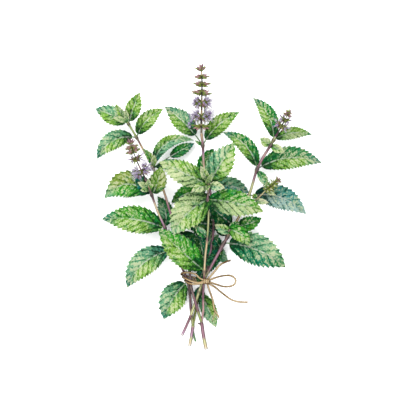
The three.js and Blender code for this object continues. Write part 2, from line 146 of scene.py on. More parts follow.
def turning_frames(line):
    """Directions right of and above a line that never twist about it, for rings of a cord."""
    along = unit(np.gradient(line, axis=0))
    start = np.cross(along[0], UP)
    if np.linalg.norm(start) < 0.1:
        start = np.cross(along[0], [0, 1, 0])
    right = [unit(start)]
    for direction in along[1:]:
        right.append(unit(right[-1] - direction * np.dot(right[-1], direction)))
    right = np.array(right)
    return along, right, np.cross(right, along)


def placed(name, data):
    """A new object of the scene."""
    made = bpy.data.objects.new(name, data)
    bpy.context.scene.collection.objects.link(made)
    return made


class Skin:
    """Gathers the points, faces and point values of one piece."""

    def __init__(self):
        self.points, self.faces, self.values, self.count = [], [], {}, 0

    def add(self, points, faces, **values):
        """Add points, groups of faces and a value for each point or one for all of them."""
        points = np.asarray(points, float).reshape(-1, 3)
        for group in faces:
            self.faces.append(np.asarray(group, int) + self.count)
        self.points.append(points)
        for name, value in values.items():
            value = np.asarray(value, float)
            wide = value.ndim > 0 and value.shape[-1] == 3
            shape = (len(points), 3) if wide else (len(points),)
            self.values.setdefault(name, []).append(np.broadcast_to(value, shape))
        self.count += len(points)

    def piece(self, name, material, slot):
        """The mesh object, riding on the part's one body."""
        points = np.vstack(self.points)
        points[:, 2] = np.maximum(points[:, 2], TABLE_TOP)
        faces = [tuple(f) for group in self.faces for f in group.tolist()]
        mesh = bpy.data.meshes.new(name)
        mesh.from_pydata(metres(points).tolist(), [], faces)
        for key, parts in self.values.items():
            value = np.concatenate(parts).astype(np.float32)
            kind, field = ("FLOAT", "value") if value.ndim == 1 else ("FLOAT_VECTOR", "vector")
            mesh.attributes.new(key, kind, "POINT").data.foreach_set(field, value.ravel())
        mesh.polygons.foreach_set("use_smooth", [True] * len(faces))
        mesh.materials.append(material)
        mesh.update()
        made = placed(name, mesh)
        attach(made, "root")
        return made


def grid_faces(rows, columns, closed=False):
    """Quads of a grid of points, row after row; closed joins its last column to its first."""
    row, column = np.meshgrid(
        np.arange(rows - 1), np.arange(columns if closed else columns - 1), indexing="ij"
    )
    after = (column + 1) % columns
    a, b = row * columns + column, row * columns + after
    return np.stack([a, b, b + columns, a + columns], axis=-1).reshape(-1, 4)


def tube_faces(rings, sides):
    """Faces of a tube whose points are its rings, then the middles of its start and end."""
    n, last = rings * sides, (rings - 1) * sides
    start = [(n, (k + 1) % sides, k) for k in range(sides)]
    end = [(n + 1, last + k, last + (k + 1) % sides) for k in range(sides)]
    return [grid_faces(rings, sides, closed=True), start, end]


def ring_angles(sides):
    """Angles spread evenly round a ring."""
    return np.linspace(0, 2 * math.pi, sides, endpoint=False)


def with_ends(values):
    """The values of the points of a tube's rings, and then of the middles of its ends."""
    values = values.reshape(-1, 3)
    return np.vstack([values, values[:1], values[-1:]])


def stacked(*parts):
    """Places or colours from their three parts, each a list or one number."""
    return np.stack(np.broadcast_arrays(*parts), axis=-1)


def tapered(along, radii):
    """Radii that change evenly from the first to the second of a pair."""
    return np.interp(along, along[[0, -1]], radii)


def tube(skin, line, radii, sides, across=None, shape=1.0, **values):
    """A closed tube along a line. shape gives the radius factor at each ring and angle."""
    line = np.asarray(line, float)
    _, right, above = across if across else turning_frames(line)
    angle = ring_angles(sides)
    radius = np.broadcast_to(np.asarray(radii, float), (len(line),))[:, None]
    x, y = radius * shape * np.cos(angle), radius * shape * np.sin(angle)
    points = line[:, None] + right[:, None] * x[..., None] + above[:, None] * y[..., None]
    points = np.vstack([points.reshape(-1, 3), line[0], line[-1]])
    for name, value in values.items():
        value = np.asarray(value, float)
        if value.ndim >= 1 and len(value) == len(line) and value.shape != (3,):
            values[name] = np.concatenate([np.repeat(value, sides, axis=0), value[:1], value[-1:]])
    skin.add(points, tube_faces(len(line), sides), **values)


# Camera

def make_camera():
    data = bpy.data.cameras.new("camera")
    data.sensor_width = SENSOR
    data.lens = SENSOR * (CAMERA_HIGH - MIDDLE_HIGH) / PICTURE_WIDE
    data.clip_start, data.clip_end = CAMERA_SEES
    camera = placed("camera", data)
    camera.location = metres([*PICTURE_CENTRE, CAMERA_HIGH])
    bpy.context.scene.camera = camera


# Materials

class Nodes:
    """A material's node tree, with short ways to add and join nodes."""

    def __init__(self, name):
        self.material = bpy.data.materials.new(name)
        self.material.use_nodes = True
        self.tree = self.material.node_tree
        self.shader = self.tree.nodes["Principled BSDF"]

    def link(self, value, socket):
        if isinstance(value, bpy.types.NodeSocket):
            self.tree.links.new(value, socket)
        else:
            socket.default_value = value

    def node(self, kind, inputs, **settings):
        """The outputs of a new node, with its settings made and its inputs linked or set."""
        node = self.tree.nodes.new(f"ShaderNode{kind}")
        for name, value in settings.items():
            setattr(node, name, value)
        for key, value in inputs.items():
            self.link(value, node.inputs[key])
        return node.outputs

    def attribute(self, name, output="Fac"):
        return self.node("Attribute", {}, attribute_name=name)[output]

    def place(self):
        return self.node("TexCoord", {})["Object"]

    def math(self, operation, *values):
        return self.node("Math", dict(enumerate(values)), operation=operation)[0]

    def add(self, a, b):
        return self.math("ADD", a, b)

    def less(self, a, b):
        return self.math("SUBTRACT", a, b)

    def times(self, a, b):
        return self.math("MULTIPLY", a, b)

    def centred(self, noise, strength):
        """A noise value moved to vary about 0, times strength."""
        return self.times(self.less(noise, 0.5), strength)

    def ramp(self, value, low, high):
        """From 0 at low to 1 at high."""
        inputs = {"Value": value, "From Min": low, "From Max": high}
        return self.node("MapRange", inputs, interpolation_type="SMOOTHSTEP")["Result"]

    def mix(self, share, a, b, blend="MIX"):
        inputs = {"Factor": share, 6: a, 7: b}
        return self.node("Mix", inputs, data_type="RGBA", blend_type=blend)[2]

    def saturated(self, colour, strength):
        return self.node("HueSaturation", {"Saturation": strength, "Color": colour})["Color"]

    def scaled(self, vector, sizes):
        return self.node("VectorMath", {0: vector, 1: sizes}, operation="MULTIPLY")[0]

    def noise(self, vector, scale, detail=3.0, rough=0.55, output="Fac"):
        inputs = {"Vector": vector, "Scale": scale, "Detail": detail, "Roughness": rough}
        return self.node("TexNoise", inputs)[output]

    def bent(self, vector, scale, far):
        """Places pushed about by up to half of far, so that a pattern's lines wander."""
        push = self.noise(vector, scale, 1.0, output="Color")
        inputs = {0: push, 1: (far, far, far), 2: vector}
        return self.node("VectorMath", inputs, operation="MULTIPLY_ADD")[0]

    def cracks(self, vector, scale):
        """Distance to the nearest edge of a net of small cells."""
        inputs = {"Vector": vector, "Scale": scale}
        return self.node("TexVoronoi", inputs, feature="DISTANCE_TO_EDGE")["Distance"]

    def bump(self, height, strength, distance):
        inputs = {"Strength": strength, "Distance": distance, "Height": height}
        self.link(self.node("Bump", inputs)["Normal"], self.shader.inputs["Normal"])

    def surface(self, colour, roughness, specular):
        self.link(colour, self.shader.inputs["Base Color"])
        self.link(roughness, self.shader.inputs["Roughness"])
        self.shader.inputs["Specular IOR Level"].default_value = specular
        return self.material


def flat(name, bright=1.0):
    return (*(COLOURS[name] * bright).tolist(), 1.0)


# Paleness is 0 in a leaf's deep shade and 1 at its palest. Each pattern moves it this far.
PALENESS = 0.37
# The panels' paleness is painted highlight on their raised quilting, and the veins' darkness is
# painted shade in their grooves.
PANEL_PAINTED_HIGHLIGHT = 0.46
LEAF_PALE = 0.1
BLOTCH, STROKE, GRAIN = 1.1, 0.78, 1.7
NET_DARK, VEIN_PAINTED_SHADE, MARGIN_DARK, RIM_PAINTED_HIGHLIGHT = 0.26, 0.32, 0.16, 0.24
# Shares of yellow-green and blue-green patches, of cream where palest and of deep where darkest.
WARM, COOL, CREAMY, DEEP = 0.25, 0.45, 0.67, 0.88
SATURATED = 1.1
RIB_BRIGHT = 1.6
UNDERSIDE_GREY = 0.4


def leaf_paleness(n, sheet, net, grain):
    """Painted highlight on raised panels between side veins and painted shade along the sunken
    veins, with a fine net, strokes and a painted highlight on the rim.
    """
    edge = n.attribute("edge")
    pale = n.attribute("pale")

    # How far from a side vein to the next a place is: dark after one, palest past the middle.
    wobble = n.centred(n.noise(sheet, 0.2), 0.8)
    between = n.math("FRACT", n.add(n.attribute("phase"), wobble))
    # Painted highlight on the raised panel between side veins.
    panel_highlight = n.times(n.ramp(between, 0.02, 0.4), n.ramp(between, 1.0, 0.82))
    # Painted shade along the sunken side vein.
    vein_shade = n.math("MAXIMUM", n.ramp(between, 0.08, 0.0), n.ramp(between, 0.92, 0.98))
    vein_shade = n.times(vein_shade, n.ramp(n.noise(sheet, 0.25, 1.0), 0.2, 0.5))

    value = n.math("MULTIPLY_ADD", panel_highlight, n.times(pale, PANEL_PAINTED_HIGHLIGHT), PALENESS)
    value = n.add(value, n.times(pale, LEAF_PALE))
    value = n.add(value, n.centred(n.noise(sheet, 0.12, 2.0), BLOTCH))
    strokes = n.attribute("strokes", "Vector")
    value = n.add(value, n.centred(n.noise(strokes, 0.55, 1.0, 0.5), STROKE))
    value = n.add(value, n.centred(grain, GRAIN))
    value = n.less(value, n.times(net, NET_DARK))
    value = n.less(value, n.times(vein_shade, VEIN_PAINTED_SHADE))
    # Painted shade at the base and beside the midrib, and paler margins on young leaves.
    value = n.less(value, n.attribute("shade"))
    value = n.less(value, n.times(n.ramp(edge, 0.55, 0.9), MARGIN_DARK))
    # Painted highlight along the very edge of the blade.
    return n.add(value, n.times(n.ramp(edge, 0.96, 1.0), RIM_PAINTED_HIGHLIGHT))


def leaf_net(n, sheet, bent):
    """The finest veins, clearer in some places than in others."""
    net = n.ramp(n.cracks(bent, 0.45), 0.2, 0.0)
    return n.times(net, n.ramp(n.noise(sheet, 0.16, 1.0), 0.25, 0.6))


def leaf_material():
    """Green in patches, painted by paleness, with a broken white midrib and a greyer underside."""
    n = Nodes("leaf")
    sheet = n.attribute("sheet", "Vector")
    bent = n.bent(sheet, 0.35, 1.8)
    grain = n.noise(sheet, 0.62, 1.0, 0.5)
    net = leaf_net(n, sheet, bent)
    value = leaf_paleness(n, sheet, net, grain)

    warm = n.ramp(n.noise(sheet, 0.17, 1.0), 0.48, 0.7)
    cool = n.ramp(n.noise(bent, 0.19, 1.0), 0.5, 0.72)
    tint = n.attribute("tint", "Color")
    tint = n.mix(n.times(warm, WARM), tint, flat("moss"))
    tint = n.mix(n.times(cool, COOL), tint, flat("jade"))
    colour = n.mix(n.ramp(value, -0.1, 0.36), n.mix(DEEP, tint, flat("deep")), tint)
    colour = n.mix(n.ramp(value, 0.46, 1.04), colour, n.mix(CREAMY, tint, flat("cream")))
    colour = n.saturated(colour, SATURATED)
    rib = n.times(n.attribute("rib"), n.ramp(n.noise(sheet, 0.34, 1.0), 0.36, 0.56))
    colour = n.mix(rib, colour, flat("white", RIB_BRIGHT))
    colour = n.mix(n.times(n.attribute("under"), UNDERSIDE_GREY), colour, flat("mist"))

    n.bump(n.less(n.times(grain, 0.6), n.times(net, 0.5)), 0.6, 0.0004)
    return n.surface(colour, n.ramp(grain, -0.6, 1.0), 0.05)


def stem_material():
    """Streaks along the stem over the colour of each place on it."""
    n = Nodes("stem")
    tint = n.attribute("tint", "Color")
    sheet = n.attribute("sheet", "Vector")
    streak = n.noise(n.scaled(sheet, (2.2, 0.16, 1.0)), 1.0, 3.0)
    speck = n.noise(sheet, 1.6, 2.0)
    colour = n.mix(n.ramp(streak, 0.5, 0.72), tint, n.mix(0.5, tint, flat("sand")))
    colour = n.mix(n.ramp(streak, 0.46, 0.28), colour, n.mix(0.55, tint, flat("wine")))
    colour = n.mix(n.ramp(speck, 0.62, 0.8), colour, n.mix(0.4, tint, flat("brown")))
    n.bump(n.add(streak, n.times(speck, 0.4)), 0.5, 0.0003)
    return n.surface(colour, n.ramp(speck, -0.4, 1.5), 0.3)


def floret_material(name, roughness, grain_scale):
    """Plain tissue with fine mottling, for calyces, petals and stamens."""
    n = Nodes(name)
    grain = n.noise(n.place(), grain_scale, 3.0)
    speck = n.add(n.times(grain, 0.7), 0.65)
    colour = n.mix(1.0, n.attribute("tint", "Color"), speck, "MULTIPLY")
    n.bump(grain, 0.4, 0.0002)
    return n.surface(colour, n.add(n.times(grain, 0.3), roughness), 0.2)


def twine_material():
    """Tan fibres that wind with the plies, with painted shade in the grooves and towards the sides
    and a painted highlight along the top.
    """
    n = Nodes("twine")
    groove = n.attribute("groove")
    top = n.attribute("top")
    sheet = n.attribute("sheet", "Vector")
    fibre = n.noise(n.scaled(sheet, (3.0, 0.9, 1.0)), 1.0, 4.0, 0.65)
    patch = n.noise(sheet, 0.12, 2.0)
    light, dark = flat("twine_light"), flat("twine_dark")
    colour = n.mix(n.ramp(fibre, 0.42, 0.66), flat("twine"), light)
    colour = n.mix(n.ramp(fibre, 0.42, 0.25), colour, dark)
    # Painted shade in the grooves between the plies.
    colour = n.mix(n.times(n.ramp(groove, 0.35, 1.0), 0.75), colour, dark)
    colour = n.mix(n.times(n.ramp(patch, 0.45, 0.65), 0.35), colour, light)
    # Painted highlight where the cord faces up, and painted shade where it turns away.
    colour = n.mix(n.times(n.ramp(top, 0.8, 1.0), 0.6), colour, light)
    colour = n.mix(n.times(n.ramp(top, 0.9, 0.45), 0.85), colour, dark)
    n.bump(n.less(fibre, groove), 0.6, 0.0004)
    return n.surface(colour, n.ramp(fibre, -1.6, 0.6), 0.15)


# Twine

TWINE_DIAMETER = 1.8
TWINE_PLIES = 3
TWINE_PITCH = 6.0
TWINE_SIDES = 18
TWINE_RINGS_EVERY = 0.42
# A twine's radius in its grooves, and how much further out its plies stand, as shares.
GROOVE_RADIUS = 0.88
PLY_STANDS = 0.24
HAIR_EVERY, HAIR_REACH, HAIR_THICK = 1.1, 0.9, 0.05

TWINE_LOOP = [
    (3.2, 0.9, 17.2), (10.4, 3.6, 13.5), (18, 5.2, 7), (24.7, 5.2, 2.2), (28.6, 2.8, 0.9),
    (29.8, -0.3, 0.9), (28.6, -3.3, 0.9), (24.7, -5.4, 2.2), (18, -5.7, 6.6),
    (10.4, -3.4, 13), (3.2, -0.9, 16.8),
]
TWINE_UPPER_TAIL = [
    (2.2, 2.5, 17.4), (6.3, 6.9, 16), (9.4, 10.7, 15), (12.3, 14.5, 14), (16.1, 17.4, 11),
    (20.8, 19.3, 5.5), (24.6, 20.6, 1.6),
]
TWINE_RIGHT_TAIL = [
    (3.0, -2.6, 17), (8.5, -5.8, 14), (15.1, -11.3, 8), (19.9, -15.1, 3.4), (24.7, -18.5, 1.1),
    (30.5, -20.7, 0.9), (36.2, -21.4, 0.9), (41.9, -21.4, 0.9),
]
TWINE_LOWER_TAIL = [
    (1.4, -3.0, 17), (3.4, -9.4, 14), (5.4, -15, 10), (7, -20, 8), (7.6, -25, 7.4),
    (8.8, -29.5, 6.9), (11, -33, 6.2), (13.2, -37, 5.2),
]
LOOSE_PLY = [
    (8.0, -25.5, 7.9), (8.9, -29.5, 7.9), (8.7, -33.5, 7.6), (7.2, -37.5, 7.2), (6.2, -41, 6.9),
]
TWINE_TURNS = [
    [
        (-1, 0.6, 16.4), (-4.6, 1.9, 15.6), (-7.2, 3.6, 14.2), (-10.2, 6.6, 13),
        (-14.5, 8.1, 12.4), (-18.6, 8.4, 11.2), (-23.2, 8, 8.4), (-25, 6.8, 4.8),
        (-23, 5.6, 1.9), (-18.6, 4.6, 1.1), (-9, 2.6, 1), (-3, 1.6, 1), (1.8, 1.2, 2.6),
        (3.6, 1.2, 7), (2.4, 1, 13), (1.2, 0.8, 15.4),
    ],
    [
        (-1, -0.4, 16.4), (-4.2, -1.0, 15.6), (-7.8, -1.8, 14), (-13.1, -0.8, 12.4),
        (-17.6, 1, 11), (-21.8, 3, 8.2), (-23.5, 3.8, 4.8), (-22, 2.8, 1.9), (-17, 1.4, 1.1),
        (-9, 0.6, 1), (-3, 0, 1), (1.4, -0.4, 2.4), (2.9, -0.5, 7), (2, -0.4, 13),
        (1, -0.4, 15.4),
    ],
    [
        (-1, -1.3, 16.2), (-4.4, -2.2, 15.4), (-9, -3, 13.8), (-14.5, -3, 11.8),
        (-19, -1.4, 8.4), (-21, 0.2, 4.8), (-19.8, 0.6, 1.9), (-15, -0.2, 1.1), (-9, -1.0, 1),
        (-3, -1.6, 1), (0.6, -1.8, 2.4), (2.2, -1.8, 7), (1.4, -1.6, 13), (0.4, -1.5, 15.2),
    ],
]
KNOT = np.array([0, -0.2, 16.9])
# Each wrap's place across the knot, and how far round it reaches along y and z.
KNOT_WRAPS = [(-1.75, 2.0, 1.5), (-0.1, 2.2, 1.8), (1.6, 2.1, 1.55)]


def twine(skin, line, seed, diameter=TWINE_DIAMETER, plies=TWINE_PLIES, ends=(1, 1)):
    """Plies that wind round each other, as one skin with grooves between them."""
    line = evenly(line, TWINE_RINGS_EVERY)
    along = lengths_along(line)
    angle = ring_angles(TWINE_SIDES)
    turned = angle[None, :] - along[:, None] / TWINE_PITCH * 2 * math.pi
    wave = np.abs(np.cos(turned * plies / 2))
    swell = 1 + 0.05 * np.sin(along * 1.3 + seed) + 0.04 * np.sin(along * 3.1 + seed * 2)
    for end, away in zip(ends, (along, along[-1] - along)):
        swell = swell * (end + (1 - end) * np.clip(away / 3.0, 0, 1) ** 0.5)
    wound = turned * diameter / 2 + seed * 31.0
    axes = turning_frames(line)
    # How much each point faces up, for the twine's painted highlight and shade.
    top = axes[1][:, 2:] * np.cos(angle) + axes[2][:, 2:] * np.sin(angle)
    tube(
        skin, line, diameter / 2 * swell, TWINE_SIDES, across=axes,
        shape=GROOVE_RADIUS + PLY_STANDS * wave**0.7,
        groove=np.append(1 - wave, [0.5, 0.5]),
        sheet=with_ends(stacked(wound, along[:, None] + seed * 17.0, seed * 3.0)),
        top=np.append(top, [0.5, 0.5]),
    )
    return line


def fibres(skin, line, rng):
    """Fine hairs that stand off the twine."""
    line = evenly(line, HAIR_EVERY)
    along, right, above = turning_frames(line)
    radii = [HAIR_THICK, HAIR_THICK * 0.8, HAIR_THICK * 0.4]
    for k in range(1, len(line) - 1):
        around = rng.uniform(0, 2 * math.pi)
        out = right[k] * math.cos(around) + above[k] * math.sin(around)
        side = np.cross(out, along[k]) * rng.uniform(-0.6, 0.6)
        root = line[k] + out * TWINE_DIAMETER * 0.36
        far = HAIR_REACH * rng.uniform(0.4, 1.0)
        hair = [
            root,
            root + out * far * 0.6 + along[k] * far * 0.5 + side * far * 0.3,
            root + out * far * 0.8 + along[k] * far * 1.2 + side * far,
        ]
        tube(skin, hair, radii, 3, groove=0.1, sheet=root, top=0.5)


def frayed_end(skin, line, rng, count=9, reach=2.4, thick=0.09):
    """The loose fibres at a cut end."""
    along, right, above = (axis[-1] for axis in turning_frames(line))
    radii = [thick, thick * 0.8, thick * 0.3]
    for _ in range(count):
        around = rng.uniform(0, 2 * math.pi)
        out = right * math.cos(around) + above * math.sin(around)
        far = reach * rng.uniform(0.6, 1.0)
        root = line[-1] - along * 0.8 + out * 0.4
        hair = [
            root,
            root + along * far * 0.5 + out * far * 0.12,
            root + along * far + out * far * 0.4,
        ]
        tube(skin, hair, radii, 3, groove=0.05, sheet=root, top=0.5)


def make_cord(name, route, material, seed, far_end):
    """One free stretch of the twine, in place of its part from model.glb."""
    skin, rng = Skin(), random.Random(seed)
    bare = far_end == "bare"
    line = twine(skin, curve_through(route), seed, ends=(1, 0.75 if bare else 1))
    fibres(skin, line, rng)
    if bare:
        frayed_end(skin, line, rng)
    cord = skin.piece(f"{name}_strand", material, "twine")
    path = metres(line)
    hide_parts(name)


def make_loose_ply(material):
    """One ply that has come out of the lower tail."""
    skin, rng = Skin(), random.Random(77)
    line = twine(skin, curve_through(LOOSE_PLY), 9, diameter=0.8, plies=2, ends=(0.6, 0.5))
    frayed_end(skin, line, rng, count=5, reach=1.6, thick=0.07)
    return skin.piece("twine_loose_ply", material, "twine")


def make_tie(material):
    """The turns round the stems and the knot that pulls them together."""
    skin, rng = Skin(), random.Random(5)
    for seed, route in enumerate(TWINE_TURNS):
        line = curve_through([*route, route[0]])
        fibres(skin, twine(skin, line, seed + 11), rng)
    for seed, (x, across, high) in enumerate(KNOT_WRAPS):
        turn = np.linspace(0, 2 * math.pi, 40)
        places = [x + 0.5 * np.sin(turn), across * np.cos(turn), high * np.sin(turn)]
        fibres(skin, twine(skin, KNOT + np.stack(places, axis=-1), seed + 21), rng)
    tie = skin.piece("twine_tie_wraps", material, "twine")
    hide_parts("twine_tie")


def make_twine(material):
    make_cord("twine_right_loop", TWINE_LOOP, material, 1, "object")
    make_cord("twine_upper_tail", TWINE_UPPER_TAIL, material, 2, "bare")
    make_cord("twine_right_tail", TWINE_RIGHT_TAIL, material, 3, "bare")
    ply = make_loose_ply(material)
    make_cord("twine_lower_tail", TWINE_LOWER_TAIL, material, 4, "bare")
    make_tie(material)
